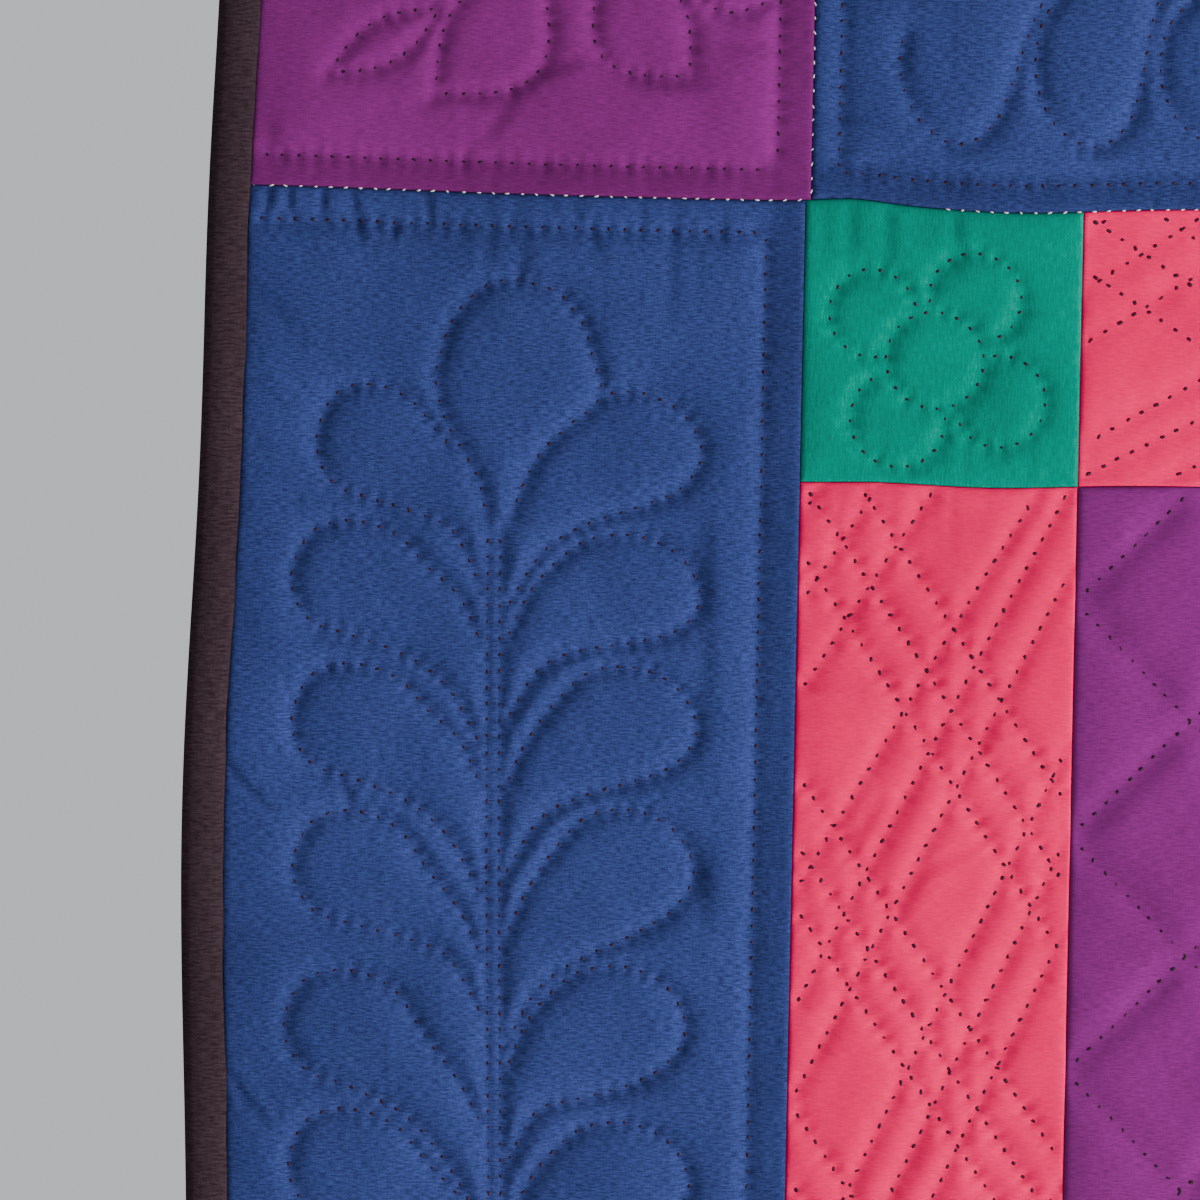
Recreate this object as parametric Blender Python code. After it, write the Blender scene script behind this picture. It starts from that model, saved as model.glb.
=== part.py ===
"""A square quilted wall hanging, hanging from its top edge.

Worked in millimetres and written to the meshes in metres. X runs to the right, Z up, and the
quilted face looks along -Y. The origin is the middle of the top edge. Every piece is first
laid out flat, in (u, v) with u along X and v along Z, and is then hung by settle().
"""
import math

import bpy
import numpy as np
from mathutils import Vector
from mathutils.geometry import delaunay_2d_cdt

METRE = 0.001
GAP = 0.3

# Widths of the pieces, from the edge inwards
BINDING = 9.4
OUTER_BORDER = 114.5
INNER_BORDER = 57.9
CENTRE = 343.0
HALF = BINDING + OUTER_BORDER + INNER_BORDER + CENTRE / 2

# Distances of the seams from the middle of the quilt
EDGE_SEAM = HALF - BINDING
OUTER_SEAM = EDGE_SEAM - OUTER_BORDER
INNER_SEAM = CENTRE / 2
STRIP_LENGTH = 2 * OUTER_SEAM

# Layers, as y from the rear of the back cloth (+) to the quilted face (-)
REAR = 2.0
BACK_CLOTH = 1.0
PATCH_REAR = REAR - BACK_CLOTH - GAP
SEAM_THICKNESS = 1.2
LOFT = 1.8
LOFT_REACH = 9.0

# Steps of the meshes
OUTER_CELLS = 3
CENTRE_CELLS = 10
STOP_CLEARANCE = 4.0
LINE_STEP = 8.0
ROW_STEP = 24.0
FIELD_STEP = 3.0
CROWN_SPACING = 10.8
CROWN_CLEARANCE = 3.0
LINE_INSET = 1.6

# How far the piecing is off true at each corner: the seams of the outer row are sewn
# apart from those of the rows inside it
CORNER_STEPS = {"upper_left": 1.1, "upper_right": -0.8, "lower_left": 0.9, "lower_right": -1.2}

# Places where the cloth has stretched or sagged:
# u, v, radius along u, radius along v, shift in x, in y (forward is -), in z
SAGS = (
    (-353.0, -255.0, 45.0, 70.0, -3.4, -1.0, 0.0),
    (-353.0, -135.0, 45.0, 40.0, -0.7, 0.0, 0.0),
    (-353.0, -60.0, 50.0, 45.0, 1.2, 0.3, 0.4),
    (-345.0, -124.0, 45.0, 45.0, 0.0, 0.0, 0.9),
    (-186.0, -126.0, 24.0, 34.0, 0.0, -0.4, -1.6),
    (353.0, -420.0, 70.0, 90.0, 2.4, -1.2, 0.0),
    (353.0, -110.0, 70.0, 60.0, -1.2, 0.6, 0.0),
    (-120.0, -706.0, 90.0, 60.0, 0.0, -1.6, -2.2),
    (150.0, -706.0, 110.0, 60.0, 0.0, 0.9, -1.2),
    (-260.0, -560.0, 100.0, 110.0, 1.2, 1.4, 0.0),
    (-40.0, -330.0, 130.0, 120.0, 0.0, -1.3, 0.6),
    (250.0, -600.0, 90.0, 100.0, 0.0, -1.5, 0.5),
)
SAG_DEEPENING = 12.0
WAVE_DEPTH = 2.0
WAVE_LENGTH = 360.0
WAVE_START = 0.6

# The fern's tip, a teardrop: down from its top, reach to the outer side, reach to the inner side
TIP = (
    (0.0, 0.0, 0.0),
    (1.2, 4.5, 5.5),
    (2.4, 6.6, 9.4),
    (5.2, 9.5, 12.0),
    (9.5, 12.5, 15.2),
    (14.0, 13.9, 16.5),
    (20.1, 15.3, 18.3),
    (23.0, 15.0, 19.0),
    (26.4, 14.3, 16.9),
    (30.5, 12.6, 11.9),
    (35.5, 9.6, 7.0),
    (41.6, 6.1, 3.6),
    (48.7, 4.3, 1.0),
)
TIP_CENTRE = -3.4

# One leaf, from the stem out along its upper edge, round its end and back to the stem:
# reach from the stem, down from the leaf's top on the outer side, and on the inner side
LEAF = (
    (2.6, 27.0, 22.2),
    (7.3, 17.0, 12.3),
    (14.0, 8.3, 4.7),
    (20.5, 2.9, 0.8),
    (30.0, 0.3, 0.2),
    (38.5, 2.8, 4.3),
    (42.6, 12.5, 12.5),
    (38.5, 21.0, 19.6),
    (30.0, 24.0, 23.4),
    (18.0, 28.4, 27.2),
    (9.5, 36.2, 32.7),
    (2.6, 48.5, 44.0),
)
LEAF_END = 7

# How each pair of leaves differs: shift along of the outer and the inner leaf, their reach.
# The shift grows from the stem outwards, between two reaches
LEAF_PAIRS = (
    (-0.2, 0.3, 0.855, 1.01),
    (-2.2, -0.1, 0.96, 1.0),
    (-2.8, -3.0, 0.94, 0.985),
    (-2.5, -3.6, 0.93, 0.965),
    (0.4, -1.2, 0.99, 0.93),
    (-1.0, 1.1, 0.95, 0.95),
)
SHIFT_REACH = (8.0, 22.0)

# The first pair starts beside the tip, at these reaches on the outer and the inner side
FIRST_REACH = (10.3, 22.4)

# The last pair's lines back to the stem stop short of the other plume
LAST_TAIL = 34.0
TAIL_SLOPE = 0.3

# The plumes of each outer strip: top of the tip from the strip's end, its size, top of the
# first leaf, reach of the leaves, shift towards the inner seam, and the straight row's
# distance from that seam
FERNS = {
    "left": {"tip": 17.7, "size": 1.0, "first": 40.2, "reach": 1.0, "shift": 0.0, "row": 8.0},
    "top": {"tip": 8.0, "size": 0.62, "first": 18.6, "reach": 1.07, "shift": 4.5, "row": 5.5},
    "right": {"tip": 17.7, "size": 1.0, "first": 40.8, "reach": 1.0, "shift": 0.5, "row": 8.0},
    "bottom": {"tip": 15.0, "size": 0.9, "first": 37.0, "reach": 1.02, "shift": 1.5, "row": 7.0},
}
LAST_LEAF = 191.8
LEAF_PITCH = 30.3
STEM_HALF = 1.25
STEM_CLEARANCE = 4.0
STEM_FROM = 66.0
STEM_LEAN = (-6.3, -3.0)
PLUME_GAP = 3.0
END_ROW = 6.8

# The rosette of the corner blocks: direction, start and reach of each petal, and its half
# width on either side
PETALS = (
    (231.7, 10.0, 44.1, 8.5, 13.5),
    (310.9, 10.0, 38.9, 11.5, 8.7),
    (42.0, 10.0, 42.0, 12.5, 11.0),
    (138.0, 10.0, 43.0, 11.5, 12.5),
    (212.0, 32.0, 58.5, 4.6, 4.6),
    (345.0, 24.0, 46.0, 7.0, 7.0),
    (90.0, 24.0, 48.0, 8.0, 8.0),
    (178.0, 24.0, 46.0, 8.0, 8.0),
)
ROSETTE = (51.4, 55.0)
ROSETTE_EYE = 8.0
BLOCK_ROWS = (7.1, 6.3)
ROW_SHORT = 2.5

# The flower of the inner blocks: its eye, then direction, reach and radius of each petal
FLOWER = (27.6, 32.1)
FLOWER_EYE = 10.2
FLOWER_PETALS = (
    (59.2, 15.9, 9.6),
    (145.2, 16.0, 9.1),
    (239.2, 14.7, 9.9),
    (329.2, 15.8, 9.6),
)
PETAL_OPENING = 4.0

# The lattice of the inner strips, in sets of three lines: where each line meets the outer
# seam, from the strip's end, and how far it runs across for each step along
FALLING = (
    (-17.7, -0.8, 14.2, 0.675),
    (60.6, 75.0, 88.1, 0.71),
    (129.5, 145.0, 158.0, 0.70),
    (208.0, 223.0, 236.0, 0.68),
    (283.0, 298.0, 311.0, 0.68),
)
RISING = (
    (8.0, 27.0, 48.2, 0.62),
    (89.0, 112.6, 131.5, 0.50),
    (175.8, 195.3, 214.5, 0.47),
    (256.0, 271.0, 287.0, 0.52),
    (334.0, 349.0, 366.0, 0.52),
    (412.0, 428.0, 444.0, 0.52),
)
CENTRE_PITCH = 49.0
CENTRE_LINES = 14

# The binding's section: distance from the outer edge, y
BINDING_SECTION = (
    (0.0, 0.0),
    (0.9, -1.5),
    (2.8, -2.1),
    (BINDING - GAP, -1.2),
    (BINDING - GAP, 1.6),
    (2.8, 2.1),
    (0.9, 1.5),
)

# Cloth colours (sRGB, 0 to 255) and roughness
CLOTHS = {
    "brown_cotton": ((56, 44, 50), 0.92),
    "blue_cotton": ((47, 73, 126), 0.9),
    "purple_cotton": ((132, 55, 130), 0.9),
    "green_cotton": ((0, 136, 118), 0.88),
    "rose_cotton": ((222, 76, 112), 0.9),
}


def linear(value):
    """An sRGB channel, 0 to 255, as the linear value that a shader takes."""
    share = value / 255
    return share / 12.92 if share <= 0.04045 else ((share + 0.055) / 1.055) ** 2.4


def cloth(name):
    """The plain material of one cloth."""
    colour, roughness = CLOTHS[name]
    material = bpy.data.materials.new(name)
    material.use_nodes = True
    shader = material.node_tree.nodes["Principled BSDF"]
    shader.inputs["Base Color"].default_value = [linear(channel) for channel in colour] + [1.0]
    shader.inputs["Roughness"].default_value = roughness
    shader.inputs["Metallic"].default_value = 0.0
    return material


def settle(flat, depth):
    """Hang flat points (u, v) at their depth y: broad waves that grow down the cloth, and sags."""
    u, v = flat[:, 0], flat[:, 1]
    fallen = -v / (2 * HALF)
    place = np.column_stack((u, depth + np.zeros(len(u)), v))
    place[:, 1] -= WAVE_DEPTH * fallen * np.cos(2 * math.pi * u / WAVE_LENGTH + WAVE_START)
    for at_u, at_v, radius_u, radius_v, *shift in SAGS:
        near = np.exp(-(((u - at_u) / radius_u) ** 2) - ((v - at_v) / radius_v) ** 2)
        place += near[:, None] * np.array(shift) * np.minimum(fallen * SAG_DEEPENING, 1.0)[:, None]
    return place


def seam_stops():
    """Places, from the middle of the quilt, where every rear face has a row of points."""
    outer = np.linspace(OUTER_SEAM, EDGE_SEAM, OUTER_CELLS + 1)
    inner = np.linspace(-INNER_SEAM, INNER_SEAM, CENTRE_CELLS + 1)
    return np.sort(np.concatenate((-outer, inner, outer)))


def stops_between(low, high, middle):
    """The two ends and the seam stops that lie well between them."""
    stops = seam_stops() + middle
    inside = (stops > low + STOP_CLEARANCE) & (stops < high - STOP_CLEARANCE)
    return np.array([low, *stops[inside], high])


def smooth_line(points, step):
    """Points about every step along a smooth curve through the given points (Catmull-Rom)."""
    points = np.asarray(points, float)
    ends = np.vstack((2 * points[0] - points[1], points, 2 * points[-1] - points[-2]))
    found = []
    for before, start, end, after in zip(ends, ends[1:], ends[2:], ends[3:]):
        count = max(1, round(np.linalg.norm(end - start) / step))
        t = (np.arange(count) / count)[:, None]
        found.append(0.5 * (2 * start + (end - before) * t
                            + (2 * before - 5 * start + 4 * end - after) * t ** 2
                            + (3 * start - before - 3 * end + after) * t ** 3))
    return np.vstack((*found, points[-1:]))


def straight_line(start, end, step):
    """Points about every step along a straight line."""
    count = max(1, round(math.dist(start, end) / step))
    t = np.linspace(0, 1, count + 1)[:, None]
    return np.array(start) * (1 - t) + np.array(end) * t


def arc(centre, radius, start, end, step):
    """Points about every step along an arc, with its angles in degrees."""
    count = max(3, round(math.radians(abs(end - start)) * radius / step))
    angle = np.radians(np.linspace(start, end, count + 1))
    return np.array(centre) + radius * np.column_stack((np.cos(angle), np.sin(angle)))


def stem_at(along):
    """How far the stem lies from the middle of its strip."""
    share = (along - STEM_FROM) / (STRIP_LENGTH / 2 - STEM_FROM)
    return STEM_LEAN[0] + (STEM_LEAN[1] - STEM_LEAN[0]) * share


def plume(fern):
    """One plume, as lines in (along, across): its tip, its stem and its pairs of leaves."""
    down, outer, inner = np.array(TIP).T * fern["size"]
    down = down + fern["tip"]
    centre = TIP_CENTRE + fern["shift"]
    loop = np.vstack((np.column_stack((down, centre - outer))[::-1],
                      np.column_stack((down, centre + inner))[1:]))
    lines = [smooth_line(loop, LINE_STEP)]
    start, end = down[-1] + STEM_CLEARANCE, STRIP_LENGTH / 2 - PLUME_GAP
    for side in (-STEM_HALF, STEM_HALF):
        stem = [(along, stem_at(along) + fern["shift"] + side) for along in (start, end)]
        lines.append(straight_line(*stem, ROW_STEP))
    count = round((LAST_LEAF - fern["first"]) / LEAF_PITCH)
    for row in range(count + 1):
        top = fern["first"] + (LAST_LEAF - fern["first"]) * row / count
        pair = LEAF_PAIRS[row % len(LEAF_PAIRS)]
        for number, side in enumerate((-1, 1)):
            reach, *drops = np.array(LEAF).T
            drop = drops[number]
            if row == 0:
                begin = FIRST_REACH[number]
                first = np.searchsorted(reach[:LEAF_END], begin)
                drop = np.append(np.interp(begin, reach[:LEAF_END], drop[:LEAF_END]), drop[first:])
                reach = np.append(begin, reach[first:])
            if row == count:
                drop = np.minimum(drop, LAST_TAIL - TAIL_SLOPE * reach)
            along = top + drop + pair[number] * np.interp(reach, SHIFT_REACH, (0, 1))
            out = np.maximum(reach * fern["reach"] * pair[2 + number], LEAF[0][0])
            across = stem_at(along) + fern["shift"] + side * out
            lines.append(smooth_line(np.column_stack((along, across)), LINE_STEP))
    return lines


def strip_lines(side):
    """Quilting of an outer strip, in (along, across): two plumes base to base, and three rows."""
    fern = FERNS[side]
    one = plume(fern)
    other = [line * (-1, 1) + (STRIP_LENGTH, 0) for line in one]
    row = OUTER_BORDER / 2 - fern["row"]
    outer = -OUTER_BORDER / 2
    far = STRIP_LENGTH - END_ROW
    rows = [straight_line((END_ROW, row), (far, row), ROW_STEP),
            straight_line((END_ROW, outer), (END_ROW, row), ROW_STEP),
            straight_line((far, outer), (far, row), ROW_STEP)]
    return one + other + rows


def rosette_lines():
    """Quilting of a corner block, measured outwards from its corner nearest the middle."""
    lines = [arc(ROSETTE, ROSETTE_EYE, 0, 360, LINE_STEP / 2)]
    for direction, start, reach, *half_widths in PETALS:
        angle = math.radians(180 - direction)
        axis = np.array((math.cos(angle), math.sin(angle)))
        across = np.array((-axis[1], axis[0]))
        t = np.linspace(0, 1, max(4, round((reach - start) / LINE_STEP) + 1))
        length = (start + (reach - start) * t)[:, None]
        bulge = np.sin(math.pi * t)[:, None]
        bulge[-1] = 0.0
        for side, half_width in zip((1, -1), half_widths):
            lines.append(np.array(ROSETTE) + axis * length + across * side * half_width * bulge)
    far_from_side, far_from_top = BLOCK_ROWS
    lines.append(straight_line((far_from_side + ROW_SHORT, far_from_top), (OUTER_BORDER, far_from_top),
                               ROW_STEP))
    lines.append(straight_line((far_from_side, far_from_top + ROW_SHORT), (far_from_side, OUTER_BORDER),
                               ROW_STEP))
    return lines


def flower_lines():
    """Quilting of an inner block, measured inwards from its outer corner: an eye, four petals."""
    lines = [arc(FLOWER, FLOWER_EYE, 0, 360, LINE_STEP)]
    for turn, reach, radius in FLOWER_PETALS:
        angle = math.radians(turn)
        centre = (FLOWER[0] + reach * math.cos(angle), FLOWER[1] - reach * math.sin(angle))
        meet = (reach ** 2 + radius ** 2 - FLOWER_EYE ** 2) / (2 * reach * radius)
        opening = math.degrees(math.acos(meet)) + PETAL_OPENING
        start = 180 - turn + opening
        lines.append(arc(centre, radius, start, start + 360 - 2 * opening, LINE_STEP * 0.75))
    return lines


def lattice_lines():
    """Quilting of an inner strip, in (along, across) from its end and its outer seam."""
    lines = []
    for sets, way in ((FALLING, 1), (RISING, -1)):
        for *starts, slope in sets:
            for start in starts:
                lines.append(np.array(((start, 0.0), (start + way * INNER_BORDER / slope, INNER_BORDER))))
    return lines


def centre_lines():
    """Quilting of the centre, from its own middle: plain lines both ways at half a right angle."""
    lines = []
    reach = CENTRE
    for number in range(CENTRE_LINES):
        offset = (number - (CENTRE_LINES - 1) / 2) * CENTRE_PITCH
        lines.append(np.array(((offset - reach, -reach), (offset + reach, reach))))
        lines.append(np.array(((offset - reach, reach), (offset + reach, -reach))))
    return lines


def clipped(line, box):
    """The runs of a line inside a box (low u, high u, low v, high v)."""
    low_u, high_u, low_v, high_v = box
    runs, run = [], []
    for start, end in zip(line, line[1:]):
        enter, leave = 0.0, 1.0
        for value, change, low, high in ((start[0], end[0] - start[0], low_u, high_u),
                                         (start[1], end[1] - start[1], low_v, high_v)):
            if abs(change) < 1e-9:
                if value < low or value > high:
                    enter = 2.0
                continue
            first, second = sorted(((low - value) / change, (high - value) / change))
            enter, leave = max(enter, first), min(leave, second)
        if enter >= leave:
            if run:
                runs.append(run)
            run = []
            continue
        if not run:
            run = [start + (end - start) * enter]
        run.append(start + (end - start) * leave)
        if leave < 1:
            runs.append(run)
            run = []
    if run:
        runs.append(run)
    return [np.array(found) for found in runs if len(found) > 1]


def distance_to(lines, points):
    """Each point's distance to the nearest of the lines."""
    nearest = np.full(len(points), 1e9)
    for line in lines:
        for start, end in zip(line, line[1:]):
            way = end - start
            share = np.clip((points - start) @ way / max(way @ way, 1e-9), 0, 1)
            nearest = np.minimum(nearest, np.linalg.norm(points - start - share[:, None] * way, axis=1))
    return nearest


def crown_points(box, lines):
    """The tops of the filled places: the farthest points from any stitch, a spacing apart."""
    low_u, high_u, low_v, high_v = box
    field = np.stack(np.meshgrid(np.arange(low_u + FIELD_STEP, high_u, FIELD_STEP),
                                 np.arange(low_v + FIELD_STEP, high_v, FIELD_STEP)), -1).reshape(-1, 2)
    clear = distance_to(lines, field)
    order = np.argsort(-np.round(clear, 1), kind="stable")
    chosen = []
    for index in order[clear[order] > CROWN_CLEARANCE]:
        point = field[index]
        if not chosen or np.min(np.linalg.norm(np.array(chosen) - point, axis=1)) > CROWN_SPACING:
            chosen.append(point)
    return np.array(chosen)


def add_solid(name, vertices, faces, material, collection):
    """One closed piece, from points in millimetres."""
    mesh = bpy.data.meshes.new(name)
    mesh.from_pydata([Vector(point) * METRE for point in vertices], [], faces)
    mesh.materials.append(material)
    piece = bpy.data.objects.new(name, mesh)
    collection.objects.link(piece)
    return piece


def rear_grid(columns, rows):
    """A grid of points on the given columns and rows, its triangles and its rim, anticlockwise."""
    u, v = np.meshgrid(columns, rows)
    flat = np.column_stack((u.ravel(), v.ravel()))
    across, down = len(columns), len(rows)
    number = np.arange(across * down).reshape(down, across)
    corners = [quad.ravel() for quad in (number[:-1, :-1], number[:-1, 1:], number[1:, 1:], number[1:, :-1])]
    faces = [face for a, b, c, d in zip(*corners) for face in ((a, b, c), (a, c, d))]
    rim = np.concatenate((number[0, :-1], number[:-1, -1], number[-1, :0:-1], number[:0:-1, 0]))
    return flat, faces, rim


def closed_between(front, front_faces, front_rim, rear, rear_faces, rear_rim):
    """Join a front and a rear surface by a wall round their rims."""
    shift = len(front)
    faces = [tuple(int(i) for i in face) for face in front_faces]
    faces += [tuple(int(i) + shift for i in reversed(face)) for face in rear_faces]
    for here, there, under, next_under in zip(front_rim, np.roll(front_rim, -1),
                                              rear_rim, np.roll(rear_rim, -1)):
        faces.append((int(here), int(under) + shift, int(next_under) + shift))
        faces.append((int(here), int(next_under) + shift, int(there)))
    return np.vstack((front, rear)), faces


def quilted_piece(name, box, lines, material, collection):
    """A filled patch: sunk along its seams and stitches, crowned between them."""
    low_u, high_u = box[0] + GAP / 2, box[1] - GAP / 2
    low_v, high_v = box[2] + GAP / 2, box[3] - GAP / 2
    columns = stops_between(low_u, high_u, 0.0)
    rows = stops_between(low_v, high_v, -HALF)
    rear_flat, rear_faces, rear_rim = rear_grid(columns, rows)
    rim_flat = rear_flat[rear_rim]
    inside = (low_u + LINE_INSET, high_u - LINE_INSET, low_v + LINE_INSET, high_v - LINE_INSET)
    stitched = [run for line in lines for run in clipped(line, inside)]
    rim_line = np.vstack((rim_flat, rim_flat[:1]))
    crowns = crown_points((low_u, high_u, low_v, high_v), stitched + [rim_line])
    points = [rim_flat]
    edges = [(i, (i + 1) % len(rim_flat)) for i in range(len(rim_flat))]
    count = len(rim_flat)
    for run in stitched:
        points.append(run)
        edges += [(count + i, count + i + 1) for i in range(len(run) - 1)]
        count += len(run)
    points.append(crowns)
    flat = [Vector(point) for point in np.vstack(points)]
    rim_face = list(range(len(rim_flat)))
    found = delaunay_2d_cdt(flat, edges, [rim_face], 1, 0.02)
    front_flat = np.array([tuple(point) for point in found[0]])
    place_of = {source: index for index, sources in enumerate(found[3]) for source in sources}
    front_rim = np.array([place_of[i] for i in rim_face])
    rise = np.clip(distance_to(stitched + [rim_line], front_flat) / LOFT_REACH, 0, 1)
    thickness = SEAM_THICKNESS + LOFT * np.sqrt(1 - (1 - rise) ** 2)
    front = settle(front_flat, PATCH_REAR - thickness)
    rear = settle(rear_flat, PATCH_REAR)
    solid = closed_between(front, found[2], front_rim, rear, rear_faces, rear_rim)
    return add_solid(name, *solid, material, collection)


def back_cloth(name, material, collection):
    """The plain sheet behind the patches."""
    edge = EDGE_SEAM - GAP / 2
    columns = stops_between(-edge, edge, 0.0)
    rows = stops_between(-HALF - edge, -HALF + edge, -HALF)
    flat, faces, rim = rear_grid(columns, rows)
    front = settle(flat, REAR - BACK_CLOTH)
    rear = settle(flat, REAR)
    return add_solid(name, *closed_between(front, faces, rim, rear, faces, rim), material, collection)


def binding_strip(name, side, material, collection):
    """One folded strip round an edge: its section carried along the edge's stops."""
    level = side in ("top", "bottom")
    edge = HALF if level else EDGE_SEAM - GAP / 2
    stops = stops_between(-edge, edge, 0.0)
    section = np.array(BINDING_SECTION)
    outward = HALF - section[:, 0]
    rings = []
    for stop in stops:
        along = np.full(len(section), stop)
        if level:
            flat = np.column_stack((along, -HALF + (outward if side == "top" else -outward)))
        else:
            flat = np.column_stack((outward if side == "right" else -outward, along - HALF))
        rings.append(settle(flat, section[:, 1]))
    points = np.vstack(rings)
    size = len(section)
    faces = [tuple(range(size))]
    for ring in range(len(stops) - 1):
        for i in range(size):
            a, b = ring * size + i, ring * size + (i + 1) % size
            faces.append((a, a + size, b + size))
            faces.append((a, b + size, b))
    faces.append(tuple(reversed(range(len(points) - size, len(points)))))
    if side in ("left", "top"):
        faces = [tuple(reversed(face)) for face in faces]
    return add_solid(name, points, faces, material, collection)


def strip_place(side, middle_across):
    """The function that lays (along, across) of a strip on the flat quilt, for one side."""
    def place(line):
        along, across = line[:, 0], line[:, 1]
        out = middle_across - across
        if side == "left":
            return np.column_stack((-out, -HALF + OUTER_SEAM - along))
        if side == "right":
            return np.column_stack((out, -HALF + OUTER_SEAM - along))
        if side == "top":
            return np.column_stack((-OUTER_SEAM + along, -HALF + out))
        return np.column_stack((-OUTER_SEAM + along, -HALF - out))
    return place


def side_box(side, near, far, ends):
    """The flat box of a strip between two distances from the middle, with its two ends."""
    if side == "left":
        return (-far, -near, -HALF + ends[0], -HALF + ends[1])
    if side == "right":
        return (near, far, -HALF + ends[0], -HALF + ends[1])
    if side == "top":
        return (ends[0], ends[1], -HALF + near, -HALF + far)
    return (ends[0], ends[1], -HALF - far, -HALF - near)


def build():
    """All the pieces, each its own object in one collection."""
    for old in list(bpy.data.objects):
        bpy.data.objects.remove(old)
    collection = bpy.data.collections.new("quilted_wall_hanging")
    bpy.context.scene.collection.children.link(collection)
    cloths = {name: cloth(name) for name in CLOTHS}

    back_cloth("back_cloth", cloths["brown_cotton"], collection)
    middle = [line + (0, -HALF) for line in centre_lines()]
    quilted_piece("centre", side_box("top", -INNER_SEAM, INNER_SEAM, (-INNER_SEAM, INNER_SEAM)),
                  middle, cloths["purple_cotton"], collection)

    for side in ("left", "top", "right", "bottom"):
        ends = (-OUTER_SEAM, OUTER_SEAM)
        if side in ("top", "bottom"):
            row = "upper" if side == "top" else "lower"
            ends = (-OUTER_SEAM + CORNER_STEPS[row + "_left"], OUTER_SEAM + CORNER_STEPS[row + "_right"])
        place = strip_place(side, EDGE_SEAM - OUTER_BORDER / 2)
        quilted_piece("outer_border_" + side, side_box(side, OUTER_SEAM, EDGE_SEAM, ends),
                      [place(line) for line in strip_lines(side)], cloths["blue_cotton"], collection)
        place = strip_place(side, OUTER_SEAM)
        lines = [place(line + (INNER_BORDER, 0)) for line in lattice_lines()]
        quilted_piece("inner_border_" + side,
                      side_box(side, INNER_SEAM, OUTER_SEAM, (-INNER_SEAM, INNER_SEAM)),
                      lines, cloths["rose_cotton"], collection)
        binding_strip("binding_" + side, side, cloths["brown_cotton"], collection)

    for corner, step in CORNER_STEPS.items():
        right = 1 if corner.endswith("right") else -1
        up = 1 if corner.startswith("upper") else -1
        spans = sorted((right * OUTER_SEAM + step, right * EDGE_SEAM))
        heights = sorted((-HALF + up * OUTER_SEAM, -HALF + up * EDGE_SEAM))
        lines = [line * (right, up) + (right * OUTER_SEAM + step, -HALF + up * OUTER_SEAM)
                 for line in rosette_lines()]
        quilted_piece("outer_block_" + corner, (*spans, *heights), lines, cloths["purple_cotton"], collection)
        spans = sorted((right * OUTER_SEAM, right * INNER_SEAM))
        heights = sorted((-HALF + up * OUTER_SEAM, -HALF + up * INNER_SEAM))
        lines = [line * (-right, -up) + (right * OUTER_SEAM, -HALF + up * OUTER_SEAM)
                 for line in flower_lines()]
        quilted_piece("inner_block_" + corner, (*spans, *heights), lines, cloths["green_cotton"], collection)


build()
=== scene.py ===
import math

import bpy
import numpy as np
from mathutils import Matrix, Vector
from mathutils.geometry import delaunay_2d_cdt


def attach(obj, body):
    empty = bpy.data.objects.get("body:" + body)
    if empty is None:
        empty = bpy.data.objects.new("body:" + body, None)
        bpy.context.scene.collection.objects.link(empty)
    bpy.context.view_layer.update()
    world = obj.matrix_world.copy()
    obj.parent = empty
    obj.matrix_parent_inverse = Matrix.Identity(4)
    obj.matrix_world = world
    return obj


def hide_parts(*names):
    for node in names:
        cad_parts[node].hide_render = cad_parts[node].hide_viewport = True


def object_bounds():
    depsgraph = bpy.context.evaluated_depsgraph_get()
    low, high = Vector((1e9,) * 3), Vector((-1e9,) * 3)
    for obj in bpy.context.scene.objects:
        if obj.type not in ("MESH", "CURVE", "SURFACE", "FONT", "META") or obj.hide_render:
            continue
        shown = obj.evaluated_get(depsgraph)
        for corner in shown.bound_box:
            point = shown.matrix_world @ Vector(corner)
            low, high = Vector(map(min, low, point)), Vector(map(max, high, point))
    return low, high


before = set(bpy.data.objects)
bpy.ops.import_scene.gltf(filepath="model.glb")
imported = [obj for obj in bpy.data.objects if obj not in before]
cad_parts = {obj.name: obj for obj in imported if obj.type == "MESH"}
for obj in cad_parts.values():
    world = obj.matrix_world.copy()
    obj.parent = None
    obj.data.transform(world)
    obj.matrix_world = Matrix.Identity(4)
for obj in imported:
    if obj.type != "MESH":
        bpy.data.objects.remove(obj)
solid_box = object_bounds()

# The hanging is seen straight on and close, at its upper left part, with a long lens.
# The pale floor lies well below it. A broad lamp at the lower right skims the cloth, so that
# the quilting shows, a weaker one in front fills its shadows, and a third lights its back.
PIXELS = 1200
PIXELS_PER_METRE = 4800.0
CAMERA_ROLL = math.radians(1.2)
# A corner where patches meet: its pixel in the photo, and its place (x, z) on the cloth
CORNER_PIXEL = (806, 201)
CORNER_PLACE = (-0.2294, -0.1239)
CAMERA_DISTANCE = 1.25
LENS_SENSOR = 0.036


def photo_to_cloth(pixel):
    """The place in the cloth's plane under a pixel: its offset from the corner's, turned by the roll."""
    across = (pixel[0] - CORNER_PIXEL[0]) / PIXELS_PER_METRE
    up = -(pixel[1] - CORNER_PIXEL[1]) / PIXELS_PER_METRE
    cos, sin = math.cos(CAMERA_ROLL), math.sin(CAMERA_ROLL)
    return CORNER_PLACE[0] + across * cos - up * sin, CORNER_PLACE[1] + across * sin + up * cos


def soft_lamp(name, place, aim, power, size, colour):
    """A square area lamp at a place, turned to its aim."""
    data = bpy.data.lights.new(name, "AREA")
    data.energy, data.size, data.color = power, size, colour
    lamp = bpy.data.objects.new(name, data)
    lamp.location = place
    lamp.rotation_euler = (Vector(aim) - Vector(place)).to_track_quat("-Z", "Y").to_euler()
    bpy.context.scene.collection.objects.link(lamp)


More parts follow.
